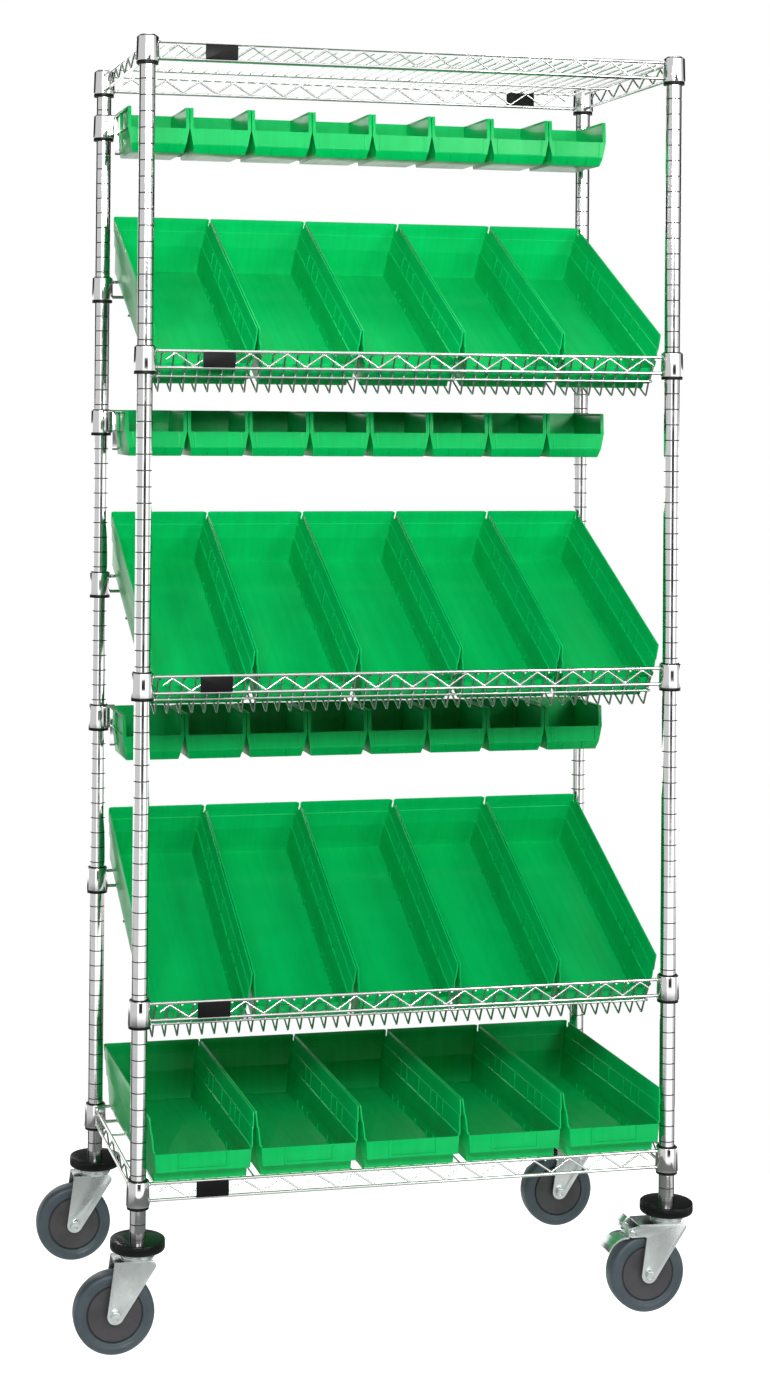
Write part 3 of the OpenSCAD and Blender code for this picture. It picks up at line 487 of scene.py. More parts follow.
def makeTruss(span):
    bm = bmesh.new()
    reach = span / 2 - collar["dLow"] / 2 + shelf["railSunk"]
    top, low = shelf["trussTop"], shelf["trussLow"]
    bead = lathe(shelf["beadOutline"], steps=12, closed=False)
    flat = Matrix.Diagonal((shelf["beadFlat"], 1, 1, 1))
    for z in (top, low):
        stamp(bm, bentWire([(-reach, 0, z), (reach, 0, z)], shelf["railD"], sides=shelf["railSides"]))
        for side in (-1, 1):
            stamp(bm, bead, at(side * (reach - shelf["beadIn"]), 0, z) @ flat)
    waves = math.floor((span - 2 * shelf["tail"] - collar["dLow"]) / shelf["wave"])
    peak = (shelf["railD"] + shelf["zigD"]) / 2 - shelf["bite"]
    zTop, zLow = top - peak, low + peak
    start, step, over = -waves * shelf["wave"] / 2, shelf["wave"] / 2, shelf["peakOver"]
    tailZ = zTop - (zTop - zLow) * shelf["tail"] / step
    points = [(start - shelf["tail"], 0, tailZ)]
    for i in range(2 * waves + 1):
        points.append((start + i * step, 0, zTop + over if i % 2 == 0 else zLow - over))
    points.append((-start + shelf["tail"], 0, tailZ))
    stamp(bm, bentWire(points, shelf["zigD"], shelf["zigBend"]))
    return toMesh(bm)


collarMesh = makeCollar()
longTruss = makeTruss(2 * postX)
sideTruss = makeTruss(2 * postY)


def makeFlatShelf():
    bm = bmesh.new()
    matZ = shelf["trussTop"] - matDrop + shelf["bite"]
    crossZ = matZ - (shelf["matD"] + shelf["crossD"]) / 2 + shelf["bite"]
    reachX, reachY = postX - shelf["zigD"] / 2, postY - shelf["zigD"] / 2
    for side in (-1, 1):
        stamp(bm, longTruss, at(0, side * postY, 0))
        stamp(bm, sideTruss, at(side * postX, 0, 0) @ turned(90, "Z"))
        y = side * postY / 3
        stamp(bm, bentWire([(-reachX, y, crossZ), (reachX, y, crossZ)], shelf["crossD"]))
    matWire = bentWire([(0, -reachY, matZ), (0, reachY, matZ)], shelf["matD"])
    stamp(bm, matWire, *[at(x, 0, 0) for x in matPlaces])
    stamp(bm, collarMesh, *atCorners(0))
    return toMesh(bm)


def makeSlantedShelf():
    bm = bmesh.new()
    rise = cart["slantRise"] * cart["groovePitch"]
    bend = Vector((0, -postY + shelf["hookReach"], shelf["trussTop"] - matDrop + shelf["bite"]))
    fold = bend - shelf["stopLen"] * offMat
    rearRail = Vector((0, postY, rise + shelf["trussTop"]))
    matRun = (rearRail - fold).dot(uphill) + shelf["railD"]
    hook = Vector((0, -postY + shelf["zigD"] / 2, bend.z))
    route = [hook, bend, fold, fold + matRun * uphill]
    matWire = bentWire(route, shelf["matD"], shelf["matBend"], steps=4)
    stamp(bm, matWire, *[at(x, 0, 0) for x in matPlaces])
    stamp(bm, longTruss, at(0, -postY, 0), at(0, postY, rise))
    half = matPlaces[-1] + shelf["crossOver"]
    under = (shelf["matD"] + shelf["crossD"]) / 2 - shelf["bite"]
    spots = [fold + shelf["stopWireUp"] * offMat - under * uphill]
    spots += [fold + share * matRun * uphill - under * offMat for share in (1 / 3, 2 / 3)]
    for spot in spots:
        stamp(bm, bentWire([(-half, spot.y, spot.z), (half, spot.y, spot.z)], shelf["crossD"]))
    for sx, sy in corners.values():
        stamp(bm, collarMesh, at(sx * postX, sy * postY, rise if sy > 0 else 0))
    return toMesh(bm)


flatShelfMesh = makeFlatShelf()
for name, level in (("bottomShelf", 0), ("topShelf", cart["topLevel"])):
    bm = bmesh.new()
    stamp(bm, flatShelfMesh, at(0, 0, levelZ(level)))
    finishPiece(name, bm, chromePlate, "cart", ["flat_shelves"], sharp=45)
slantedShelfMesh = makeSlantedShelf()
for name, level in cart["slantLevels"].items():
    bm = bmesh.new()
    stamp(bm, slantedShelfMesh, at(0, 0, levelZ(level)))
    finishPiece(name + "SlantedShelf", bm, chromePlate, "cart", ["slanted_shelves"], sharp=45)


# Bin rails: a plate with a flange, and a bracket and a collar at each post
print("bin rails")
rail = {
    "t": 1.6, "h": 66, "drop": 24, "flange": 14, "front": 24, "inset": 16, "bendR": 2.5, "edge": 0.3,
    "bracketReach": 26, "bracketIn": 4, "bracketH": 40, "bracketShort": 8, "bracketDrop": 6,
    "bracketNose": 3, "postTopIn": 4, "noseTopIn": 1, "bracketEdge": 0.6,
}
plateY = postY - rail["front"]


def makeRail():
    bm = bmesh.new()
    half = postX - rail["inset"]
    t, r, drop = rail["t"], rail["bendR"], rail["drop"]
    path = [(t / 2, rail["h"] - drop)]
    path += [(y, z - drop) for y, z in arc((r + t / 2, r + t / 2), r, 180, 270)]
    path.append((rail["flange"], t / 2 - drop))
    verts = [bm.verts.new((-half, plateY + y, z)) for y, z in path]
    edges = [bm.edges.new(pair) for pair in zip(verts, verts[1:])]
    made = bmesh.ops.extrude_edge_only(bm, edges=edges)["geom"]
    bmesh.ops.translate(bm, vec=(2 * half, 0, 0), verts=vertsIn(made))
    bmesh.ops.solidify(bm, geom=bm.faces[:], thickness=t)
    front = min(v.co.y for v in bm.verts)
    bmesh.ops.translate(bm, vec=(0, plateY - front, 0), verts=bm.verts)
    bmesh.ops.recalc_face_normals(bm, faces=bm.faces)
    softenEdges(bm, rail["edge"])
    depth, h, nose = rail["front"] - rail["bracketShort"], rail["bracketH"], rail["bracketNose"]
    low = (collar["h"] - h) / 2 + rail["bracketDrop"]
    outline = [(0, low), (nose, low - nose), (depth, 0), (depth, h), (nose, h - rail["noseTopIn"]),
               (0, h - rail["postTopIn"])]
    bracket = extruded(outline, rail["bracketReach"] - rail["bracketIn"], soften=rail["bracketEdge"])
    for side in (-1, 1):
        place = at(side * (postX - rail["bracketReach"]), plateY + t / 2, collar["low"]) @ turned(90, "Z")
        if side > 0:
            place = place @ mirrored("Y")
        stamp(bm, bracket, place)
        stamp(bm, collarMesh, at(side * postX, postY, 0))
    return toMesh(bm)


railMesh = makeRail()
bm = bmesh.new()
for level in cart["railLevels"].values():
    stamp(bm, railMesh, at(0, 0, levelZ(level)))
finishPiece("binRails", bm, chromePlate, "cart", ["bin_rails"])

# Label plates, bare
plates = copyOfNode("label_plates", soften=0.5)
finishPiece("labelPlates", plates, moulded["blackLabelPlastic"], "cart", ["label_plates"])


# Bins: a tub cut from a block, opened at the top and the front, and given its wall
def makeTub(spec, halfWidth, frontY, backY, levels, isGone):
    length, width, height = spec["length"], spec["rimWidth"], spec["height"]
    bm = bmesh.new()
    shape = Matrix.Diagonal((width, length, height, 1))
    bmesh.ops.create_cube(bm, size=1, matrix=at(0, length / 2, height / 2) @ shape)
    for back, radius in ((True, spec["backRound"]), (False, spec["frontRound"])):
        edges = [e for e in bm.edges if abs(e.verts[0].co.z - e.verts[1].co.z) > 1
                 and (e.verts[0].co.y > length / 2) == back]
        bmesh.ops.bevel(bm, geom=edges, offset=radius, offset_type="OFFSET", affect="EDGES",
                        segments=4 if back else 2, profile=0.5, material=-1)
    cuts = [((0, 0, z), (0, 0, 1)) for z in levels]
    if "notchLength" in spec:
        cuts.append(((0, length - spec["notchLength"], 0), (0, 1, 0)))
    for spot, normal in cuts:
        everything = bm.verts[:] + bm.edges[:] + bm.faces[:]
        bmesh.ops.bisect_plane(bm, geom=everything, plane_co=spot, plane_no=normal)
    for vert in bm.verts:
        x, y, z = vert.co
        side = 1 if x > 0 else -1
        if abs(x) > width / 2 - spec["backRound"] - near:
            x = side * (halfWidth(z) - (width / 2 - abs(x)))
        y = frontY(z) + y if y < length / 2 else backY(z) - (length - y)
        vert.co = (x, y, z)
    gone = [f for f in bm.faces if isGone(f.calc_center_median(), f.normal)]
    bmesh.ops.delete(bm, geom=gone, context="FACES")
    bmesh.ops.recalc_face_normals(bm, faces=bm.faces)
    bmesh.ops.solidify(bm, geom=bm.faces[:], thickness=spec["wall"])  # inwards, so the outside keeps its size
    return bm


print("shelf bins")
shelfBin = {
    "length": 454, "rimWidth": 168, "floorWidth": 148, "height": 102, "wall": 2.2, "edge": 0.6,
    "backRound": 6, "frontRound": 2,
    "lip": 48, "noseLow": 17, "noseHigh": 20, "setback": 22, "rimBack": 13, "backLean": 3,
    "lowLedge": 50, "lowLedgeDeep": 2, "highLedge": 77, "highLedgeDeep": 1.2, "ledgeHalf": 0.4,
    "notchLength": 17, "notchDeep": 10,
    "dividers": [93, 127, 161, 227, 297, 331, 365], "dividerW": 2.4, "dividerOut": 2, "dividerSunk": 1,
    "dividerEdge": 0.25, "footH": 9,
    "hookH": 4, "hookOut": 1.6, "hookWider": 1.2, "hookEdge": 0.5, "hookSeat": 80,
    "holderW": 80, "holderH": 25, "holderZ": 21,
    "holderRim": 3.4, "holderT": 1.2, "holderSunk": 1, "holderEdge": 0.4,
}


def shelfBinHalf(z):
    taper = (shelfBin["rimWidth"] - shelfBin["floorWidth"]) / 2
    taper -= shelfBin["lowLedgeDeep"] + shelfBin["highLedgeDeep"]
    half = shelfBin["floorWidth"] / 2 + taper * z / shelfBin["height"]
    if z > shelfBin["lowLedge"]:
        half += shelfBin["lowLedgeDeep"]
    if z > shelfBin["highLedge"]:
        half += shelfBin["highLedgeDeep"]
    return half


def shelfBinFront(z):
    if z < shelfBin["noseLow"] + near:
        return shelfBin["setback"]
    return shelfBin["rimBack"] * max(0, z - shelfBin["lip"]) / (shelfBin["height"] - shelfBin["lip"])


def shelfBinBack(z):
    lean = shelfBin["backLean"] - shelfBin["highLedgeDeep"]
    back = shelfBin["length"] - shelfBin["backLean"] + lean * z / shelfBin["height"]
    return back + (shelfBin["highLedgeDeep"] if z > shelfBin["highLedge"] else 0)


def shelfBinGone(centre, normal):
    if centre.z > shelfBin["height"] - near:
        return True
    if centre.z > shelfBin["lip"] and centre.y < shelfBinFront(centre.z) + shelfBin["frontRound"] * 0.9:
        return True
    notchTop = centre.z > shelfBin["height"] - shelfBin["notchDeep"]
    fromBack = shelfBin["length"] - centre.y
    backEnd = shelfBin["backRound"] < fromBack < shelfBin["notchLength"]
    return notchTop and backEnd and abs(normal.x) > 0.9


def makeShelfBin():
    wall, out, sunk = shelfBin["wall"], shelfBin["dividerOut"], shelfBin["dividerSunk"]
    lowLedge, highLedge, ledgeHalf = shelfBin["lowLedge"], shelfBin["highLedge"], shelfBin["ledgeHalf"]
    ledges = [z + d for z in (lowLedge, highLedge) for d in (-ledgeHalf, ledgeHalf)]
    notchZ = shelfBin["height"] - shelfBin["notchDeep"]
    levels = [shelfBin["noseLow"], shelfBin["noseHigh"], shelfBin["lip"], notchZ] + ledges
    bm = makeTub(shelfBin, shelfBinHalf, shelfBinFront, shelfBinBack, levels, shelfBinGone)

    def offLedge(edge):
        ends = [v.co.z for v in edge.verts]
        return all(min(abs(z - ledge) for ledge in ledges) > near for z in ends) or abs(ends[0] - ends[1]) > 3
    softenEdges(bm, shelfBin["edge"], keep=offLedge)
    for low, high in ((wall / 2, wall + shelfBin["footH"]), (lowLedge + wall / 2, highLedge)):
        middle = (low + high) / 2
        lean = math.atan((shelfBinHalf(high) - shelfBinHalf(low)) / (high - low))
        rib = block((out + sunk, shelfBin["dividerW"], high - low), soften=shelfBin["dividerEdge"])
        for side in (-1, 1):
            x = side * (shelfBinHalf(middle) - wall + (sunk - out) / 2)
            tilt = Matrix.Rotation(side * lean, 4, "Y")
            stamp(bm, rib, *[at(x, y, middle) @ tilt for y in shelfBin["dividers"]])
    hookSize = (shelfBin["hookOut"], shelfBin["dividerW"] + shelfBin["hookWider"], shelfBin["hookH"])
    hook = block(hookSize, soften=shelfBin["hookEdge"])
    for side in (-1, 1):
        x = side * (shelfBinHalf(shelfBin["hookSeat"]) - wall)
        stamp(bm, hook, *[at(x, y, highLedge + shelfBin["hookH"] / 2) for y in shelfBin["dividers"]])
    holder = uFrame(shelfBin["holderW"], shelfBin["holderH"], shelfBin["holderRim"],
                    shelfBin["holderT"] + shelfBin["holderSunk"], soften=shelfBin["holderEdge"])
    stamp(bm, holder, at(0, -shelfBin["holderT"], shelfBin["holderZ"]))
    return toMesh(bm)


def shelfBinPlace(node):  # the bin's origin follows from the rear corners of its solid
    low, high = nodeBox(node)
    tilt = slope if node.split("_")[0] in cart["slantLevels"] else 0
    sin, cos = math.sin(tilt), math.cos(tilt)
    length, height, lean = shelfBin["length"], shelfBin["height"], shelfBin["backLean"]
    backmost = max((length - lean) * cos, length * cos - height * sin)
    topmost = length * sin + height * cos
    return at((low.x + high.x) / 2, high.y - backmost, high.z - topmost) @ Matrix.Rotation(tilt, 4, "X")


shelfBinMesh = makeShelfBin()
for tier in ("upper", "middle", "lower", "bottom"):
    for number in range(1, cart["binsPerShelf"] + 1):
        node = f"{tier}_shelf_bin_{number}"
        bm = bmesh.new()
        stamp(bm, shelfBinMesh, shelfBinPlace(node))
        finishPiece(f"{tier}ShelfBin{number}", bm, moulded["greenPolypropylene"], node, [node])


print("hopper bins")
hopper = {
    "length": 136.5, "rimWidth": 104.8, "floorWidth": 88, "height": 76, "wall": 2, "edge": 0.4,
    "backRound": 4, "frontRound": 1, "toeH": 14, "toe": 9, "lip": 41, "frontLean": 3, "backLean": 4,
    "flange": 6, "frontBite": 0.5, "endIn": 0.15,
    "hookW": 80, "hookH": 14, "hookGap": 2.4, "hookSunk": 1.2,
    "frameW": 82, "frameRim": 2.4, "frameT": 0.8, "frameIn": 0.5,
    "rimH": 4, "rimLess": (0.3, 5), "rimShift": (0.2, 2), "rimEdge": 0.5,
    "ribT": 1.4, "ribZ": 41, "ribLess": (1, 4.4), "ribIn": 0.1, "ribEdge": 0.3,
    "uprightY": 86, "uprightIn": 0.6, "uprightFoot": 0.4, "uprightTop": 1, "uprightLap": 1.6,
    "uprightEdge": 0.25,
    "lineSize": (1, 1.2), "lineShort": 3, "lineOut": 0.1,
    "toeRibDeep": 2, "toeRibShort": 1, "toeRibIn": 0.4,
}
hopper["body"] = hopper["length"] - hopper["hookGap"] - hopper["wall"]


def hopperOutline(z):  # half the width over the flanges
    wide, narrow = hopper["rimWidth"] / 2, hopper["floorWidth"] / 2
    return narrow + (wide - narrow) * min(1, z / hopper["lip"])


def hopperHalf(z):  # half the width over the walls, which stand in from the flanges
    inset = hopper["flange"] - hopper["wall"]
    return hopperOutline(z) - inset * min(1, z / hopper["lip"])


def hopperFront(z):
    if z < hopper["toeH"]:
        return hopper["toe"] * (1 - z / hopper["toeH"])
    return hopper["frontLean"] * max(0, z - hopper["lip"]) / (hopper["height"] - hopper["lip"])


def tubFront(z):  # the tub starts inside its front plate
    return hopperFront(z) + hopper["frontBite"]


def hopperBack(z):
    return hopper["body"] - hopper["backLean"] * max(0, 1 - z / hopper["lip"])


def hopperGone(centre, normal):
    onFront = normal.y < -0.5 and centre.y < hopper["length"] / 2
    return onFront or centre.z > hopper["height"] - near


def makeHopperFront():  # lip and flanges, cut from one U-shaped plate
    edge = [hopper[key] for key in ("endIn", "toeH", "lip", "height")]
    right = [(hopperOutline(z), z) for z in edge]
    inner = hopper["rimWidth"] / 2 - hopper["flange"]
    outline = right + [(inner, hopper["height"]), (inner, hopper["lip"])]
    outline += [(-x, z) for x, z in reversed(outline)]
    bm = bmesh.new()
    bm.from_mesh(extruded(outline, hopper["wall"]))
    for z in (hopper["toeH"], hopper["lip"]):
        everything = bm.verts[:] + bm.edges[:] + bm.faces[:]
        bmesh.ops.bisect_plane(bm, geom=everything, plane_co=(0, 0, z), plane_no=(0, 0, 1))
    for vert in bm.verts:
        vert.co.y += hopperFront(vert.co.z)
    softenEdges(bm, hopper["edge"], steepest=30)
    return toMesh(bm)


def makeHopper():
    wall, body, length, height = hopper["wall"], hopper["body"], hopper["length"], hopper["height"]
    flange, ribT, lip, toe, toeH = (hopper[key] for key in ("flange", "ribT", "lip", "toe", "toeH"))
    outer, top, hookLow = hopper["rimWidth"] / 2, height - hopper["endIn"], height - hopper["hookH"]
    bm = makeTub(dict(hopper, length=body), hopperHalf, tubFront, hopperBack, [toeH, lip], hopperGone)
    softenEdges(bm, hopper["edge"])
    stamp(bm, makeHopperFront())
    start = body - hopper["hookSunk"]
    hook = extruded([(start, top - wall), (length - wall, top - wall), (length - wall, hookLow),
                     (length, hookLow), (length, top), (start, top)], hopper["hookW"], soften=hopper["edge"])
    stamp(bm, hook, at(hopper["hookW"] / 2, 0, 0) @ turned(90, "Z"))
    labelFrame = uFrame(hopper["frameW"], lip - toeH - 2 * hopper["frameIn"], hopper["frameRim"],
                        2 * hopper["frameT"])
    stamp(bm, labelFrame, at(0, -hopper["frameT"], toeH + hopper["frameIn"]))
    # An upright between the tub's wall and its flange, seen from the front
    sideX, footX, footZ = outer - hopper["uprightIn"], hopper["floorWidth"] / 2, hopper["uprightFoot"]
    lapX, topZ = sideX - flange + hopper["uprightLap"], height - hopper["uprightTop"]
    upright = extruded([(footX - 1, footZ), (footX - hopper["uprightIn"], footZ),
                        (sideX, lip), (sideX, topZ), (lapX, topZ), (lapX, lip)],
                       ribT, soften=hopper["uprightEdge"])
    narrower, shorter = hopper["rimLess"]
    rim = block((flange - narrower, body - shorter, hopper["rimH"]), soften=hopper["rimEdge"])
    narrower, shorter = hopper["ribLess"]
    sideRib = block((flange - narrower, body - shorter, ribT), soften=hopper["ribEdge"])
    flangeLine = block((*hopper["lineSize"], height - lip - hopper["lineShort"]), soften=hopper["ribEdge"])
    toeRib = block((ribT, hopper["toeRibDeep"], math.hypot(toe, toeH) - hopper["toeRibShort"]),
                   soften=hopper["ribEdge"])
    tilt = Matrix.Rotation(math.atan(toe / toeH), 4, "X")
    lean = Matrix.Rotation(-math.atan(hopper["frontLean"] / (height - lip)), 4, "X")
    middleX, middleZ = outer - flange / 2, (height + lip) / 2
    rimIn, rimBack = hopper["rimShift"]
    for side in (-1, 1):
        stamp(bm, rim, at(side * (middleX - rimIn), body / 2 + rimBack, top - hopper["rimH"] / 2))
        stamp(bm, sideRib, at(side * (middleX - hopper["ribIn"]), body / 2, hopper["ribZ"] + ribT / 2))
        place = at(0, hopper["uprightY"], 0)
        stamp(bm, upright, place if side > 0 else place @ mirrored("X"))
        stamp(bm, toeRib, at(side * outer / 3, toe / 2 - hopper["toeRibIn"], toeH / 2) @ tilt)
        stamp(bm, flangeLine, at(side * middleX, hopperFront(middleZ) + hopper["lineOut"], middleZ) @ lean)
    return toMesh(bm)


hopperMesh = makeHopper()
for tier in cart["railLevels"]:
    for number in range(1, cart["binsPerRail"] + 1):
        node = f"{tier}_hopper_bin_{number}"
        low, high = nodeBox(node)
        bm = bmesh.new()
        place = at((low.x + high.x) / 2, high.y - hopper["length"], high.z - hopper["height"])
        stamp(bm, hopperMesh, place)
        finishPiece(f"{tier}HopperBin{number}", bm, moulded["greenPolypropylene"], node,
                    [node], sharp=24)


# Casters: a wheel's side profiles give [distance from the hub's rim, depth from the tread's side]
print("casters")
caster = {
    "wheelD": 127, "wheelW": 32, "hubD": 88, "trail": 37, "boreD": 9.9,
    "treadSide": [(0, 5.6), (0.5, 3.4), (1.4, 2.6), (5, 2.2), (7, 1)], "treadFlat": 11,
    "shoulder": 8, "shoulderTurn": (-84, -24), "treadCrown": [(0.25, 6), (0, 3)],
    "bossHalf": 18.6, "bossR": 11, "bossRound": 1, "bossFoot": (12.5, 3.4),
    "hubSide": [(9, 2.9), (8, 2.4), (2.6, 2.4), (1.8, 3.2), (1.5, 5.4), (0, 5.6)],
}


def makeBumper():
    r, t, bore = bumper["d"] / 2, bumper["t"], post["stemD"] / 2 + bumper["boreRun"]
    low, top = bumper["lowRound"], bumper["topRound"]
    profile = [(bore, 0), (r - bumper["footIn"], 0)] + arc((r - low, low), low, -90, 0)
    profile += arc((r - top, t - top - bumper["topDrop"]), top, 0, 84)
    profile += [(post["d"] / 2 + bumper["dishOut"], t - bumper["dishDrop"]), (bore, t - bumper["boreDrop"])]
    return lathe(profile, steps=64)


def makeTread():
    r, h, w = caster["wheelD"] / 2, caster["hubD"] / 2, caster["wheelW"] / 2
    shoulder = caster["shoulder"]
    half = [(h + out, deep - w) for out, deep in caster["treadSide"]] + [(r - caster["treadFlat"], -w)]
    half += arc((r - shoulder, shoulder - w), shoulder, *caster["shoulderTurn"], steps=6)
    half += [(r - down, -side) for down, side in caster["treadCrown"]]
    return lathe(bothSides(half), steps=96)


def makeHub():
    h, w, boss = caster["hubD"] / 2, caster["wheelW"] / 2, caster["bossHalf"]
    footR, footDeep = caster["bossFoot"]
    half = [(caster["boreD"] / 2, -boss), (caster["bossR"], -boss),
            (caster["bossR"] + caster["bossRound"], caster["bossRound"] - boss), (footR, footDeep - w)]
    half += [(h - back, deep - w) for back, deep in caster["hubSide"]]
    return lathe(bothSides(half), steps=72)


bm = bmesh.new()
stamp(bm, makeBumper(), *atCorners(bumper["z"]))
finishPiece("bumpers", bm, moulded["blackVinyl"], "cart", ["bumpers"])
treadMesh, hubMesh = makeTread(), makeHub()
for corner, (sx, sy) in corners.items():
    axle = at(sx * postX - caster["trail"], sy * postY, caster["wheelD"] / 2) @ turned(90, "X")
    wheelBody, forkBody = "wheel_" + corner, "fork_" + corner
    bm = bmesh.new()
    stamp(bm, treadMesh, axle)
    finishPiece("tread_" + corner, bm, moulded["greyTreadRubber"], wheelBody, [wheelBody])
    bm = bmesh.new()
    stamp(bm, hubMesh, axle)
    finishPiece("hub_" + corner, bm, moulded["darkHubPlastic"], wheelBody, [wheelBody])
    fork = copyOfNode(forkBody, soften=0.35)
    finishPiece("casterFork_" + corner, fork, zincPlate, forkBody, [forkBody])
lever = copyOfNode("brake_lever", soften=0.3)
finishPiece("brakePedal", lever, zincPlate, "brake_lever", ["brake_lever"])


# Studio: a pale floor, three soft lights, and a world that the chrome mirrors
print("studio")
studio = {
    "floorSize": 1.8, "floorColour": "7C7C7C", "floorRough": 0.9, "floorGlow": 1.3,
    "mirrorNear": (0.2, 0.7), "mirrorFar": (0.5, 0.05),
    "slotValue": 0.02, "bandValue": 0.12, "plainValue": 0.8, "whiteValue": 1.75,
}
floorMesh = bpy.data.meshes.new("studioFloor")
bm = bmesh.new()
bmesh.ops.create_grid(bm, x_segments=1, y_segments=1, size=studio["floorSize"] / 2)
bm.to_mesh(floorMesh)
bm.free()
floorPaint, tree, shader = startMaterial("studioFloorPaint")[:3]
shader.inputs["Base Color"].default_value = hexColour(studio["floorColour"])
shader.inputs["Roughness"].default_value = studio["floorRough"]
shader.inputs["Specular IOR Level"].default_value = 0
shader.inputs["Emission Color"].default_value = grey(1)
rays = addNode(tree, "ShaderNodeLightPath")
# Chrome near the floor mirrors it bright, and chrome higher up mirrors it dark
closeBy, farOff = studio["mirrorNear"], studio["mirrorFar"]
inChrome = addNode(tree, "ShaderNodeMapRange", {"From Min": closeBy[0], "From Max": farOff[0],
                                                "To Min": closeBy[1], "To Max": farOff[1]},
                   {"Value": rays.outputs["Ray Length"]})
glow = addNode(tree, "ShaderNodeMix", {"data_type": "FLOAT", 2: studio["floorGlow"]},
               {0: rays.outputs["Is Glossy Ray"], 3: inChrome.outputs[0]})
tree.links.new(glow.outputs[0], shader.inputs["Emission Strength"])
floorMesh.materials.append(floorPaint)
floor = bpy.data.objects.new("studioFloor", floorMesh)
bpy.context.scene.collection.objects.link(floor)

lights = {
    "keyLight": {"power": 32, "spread": 90, "size": (1.6, 0.68), "spot": (-0.9, -3.3, 2.38),
                 "target": (0, 0, 1.75)},
    "fillLight": {"power": 11, "spread": 90, "size": (1.2, 0.68), "spot": (1.7, -3.1, 2.38),
                  "target": (0, 0, 1.75)},
    "topLight": {"power": 40, "spread": 180, "size": (2.4, 1.6), "spot": (0, 0.2, 4.4),
                 "target": (0, 0, 1)},
}
for name, given in lights.items():
    light = bpy.data.lights.new(name, "AREA")
    light.shape = "RECTANGLE"
    light.size, light.size_y = given["size"]
    light.energy = given["power"]
    light.spread = math.radians(given["spread"])
    lamp = bpy.data.objects.new(name, light)
    aim = (Vector(given["target"]) - Vector(given["spot"])).to_track_quat("-Z", "Y").to_matrix().to_4x4()
    lamp.matrix_world = Matrix.Translation(given["spot"]) @ aim
    bpy.context.scene.collection.objects.link(lamp)

world = bpy.data.worlds.new("studioWorld")
world.use_nodes = True
bpy.context.scene.world = world
tree = world.node_tree
tree.nodes.clear()
coords = addNode(tree, "ShaderNodeTexCoord")
way = addNode(tree, "ShaderNodeSeparateXYZ", links={"Vector": coords.outputs["Generated"]})
angle = addNode(tree, "ShaderNodeMath", {"operation": "ARCTAN2"}, {0: way.outputs["Y"], 1: way.outputs["X"]})
turn = addNode(tree, "ShaderNodeMath", {"operation": "MULTIPLY_ADD", 1: 1 / math.tau, 2: 0.5},
               {0: angle.outputs[0]}).outputs[0]
height = addNode(tree, "ShaderNodeMath", {"operation": "MULTIPLY_ADD", 1: 0.5, 2: 0.5},
                 {0: way.outputs["Z"]}).outputs[0]
white, dark, plain, black = grey(studio["whiteValue"]), grey(studio["bandValue"]), grey(1), grey(0)


def card(heading, width, inside, outside, soft=4):  # one upright card, in degrees from +X, on its surround
    middle, half, edge = heading / 360 + 0.5, width / 720, soft / 360
    stops = [(middle - half - edge, outside), (middle - half, inside),
             (middle + half, inside), (middle + half + edge, outside)]
    return addNode(tree, "ShaderNodeValToRGB", {"stops": stops}, {"Fac": turn}).outputs["Color"]


def band(stops):  # colours by height: 0 is straight down, 0.5 the horizon and 1 straight up
    return addNode(tree, "ShaderNodeValToRGB", {"stops": stops}, {"Fac": height}).outputs["Color"]


# Each layer is laid over the ones before it. A card with a band shows only at some heights.
surround = card(-77, 84, white, grey(studio["plainValue"]))
layers = [
    # A dark card on either side of the back
    ("MULTIPLY", card(31, 40, dark, plain), None, None),
    ("MULTIPLY", card(130, 36, dark, plain), None, None),
    # Behind the cart it is dark above the horizon, and white just below it and on one strip
    ("MULTIPLY", card(75, 150, dark, plain, soft=10), "LIGHTEN",
     band([(0.5, plain), (0.53, black), (0.78, black), (0.86, plain)])),
    ("LIGHTEN", card(75, 150, white, black), "MULTIPLY",
     band([(0.38, black), (0.42, plain), (0.49, plain), (0.5, black)])),
    ("LIGHTEN", card(98, 16, white, black), None, None),
    # In front there is a dark slot at eye level
    ("MULTIPLY", card(-88, 32, grey(studio["slotValue"]), plain, soft=2), "LIGHTEN",
     band([(0.4, plain), (0.42, black), (0.525, black), (0.535, plain)])),
    # It is dark far below and straight above
    ("MULTIPLY", band([(0.26, grey(0.08)), (0.38, plain), (0.84, plain), (0.91, grey(0.12))]), None, None),
]
mixing = {"data_type": "RGBA", "clamp_result": False, 0: 1.0}
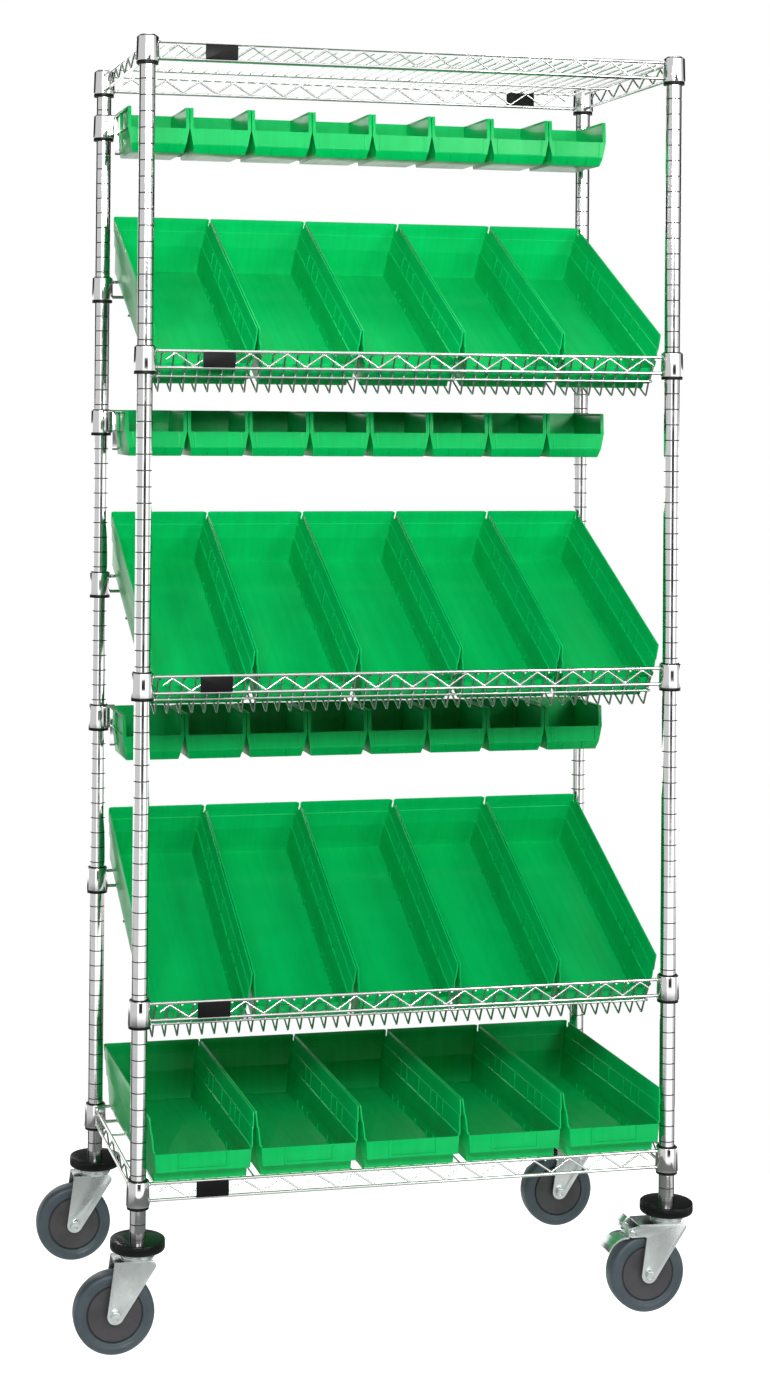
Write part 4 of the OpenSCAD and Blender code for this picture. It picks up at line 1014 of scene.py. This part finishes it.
for blend, layer, bandBlend, limits in layers:
    if limits is not None:
        layer = addNode(tree, "ShaderNodeMix", {**mixing, "blend_type": bandBlend},
                        {6: layer, 7: limits}).outputs[2]
    surround = addNode(tree, "ShaderNodeMix", {**mixing, "blend_type": blend},
                       {6: surround, 7: layer}).outputs[2]
# What lights the dull surfaces: a sky that is dark near the horizon
sky = band([(0.42, grey(0.1)), (0.5, grey(0.03)), (0.58, grey(0.03)), (0.7, grey(0.24))])

rays = addNode(tree, "ShaderNodeLightPath")
mirroredLight = addNode(tree, "ShaderNodeBackground", links={"Color": surround})
dullLight = addNode(tree, "ShaderNodeBackground", links={"Color": sky})
backdrop = addNode(tree, "ShaderNodeBackground", {"Color": plain})
lit = addNode(tree, "ShaderNodeMixShader", links={"Fac": rays.outputs["Diffuse Depth"],
                                                  1: mirroredLight.outputs[0], 2: dullLight.outputs[0]})
seen = addNode(tree, "ShaderNodeMixShader", links={"Fac": rays.outputs["Is Camera Ray"],
                                                   1: lit.outputs[0], 2: backdrop.outputs[0]})
addNode(tree, "ShaderNodeOutputWorld", links={"Surface": seen.outputs[0]})

# The camera stands where the photograph was taken from
photo = {"width": 770, "height": 1400}
view = {"focalPx": 2393, "centreX": 251, "centreY": 388, "yaw": 12.80, "pitch": 0.40, "roll": 0.47,
        "place": (-1.102, -3.878, 1.4695), "sensor": 36, "farthest": 100}
lens = bpy.data.cameras.new("photoCamera")
lens.sensor_width = view["sensor"]
lens.lens = view["focalPx"] / photo["height"] * view["sensor"]
lens.shift_x = (photo["width"] / 2 - view["centreX"]) / photo["height"]
lens.shift_y = (view["centreY"] - photo["height"] / 2) / photo["height"]
lens.clip_end = view["farthest"]
camera = bpy.data.objects.new("photoCamera", lens)
camera.matrix_world = (Matrix.Translation(view["place"]) @ turned(-view["yaw"], "Z")
                       @ turned(90 + view["pitch"], "X") @ turned(view["roll"], "Z"))
bpy.context.scene.collection.objects.link(camera)
bpy.context.scene.camera = camera
bpy.context.scene.view_settings.view_transform = "Standard"

print("done")
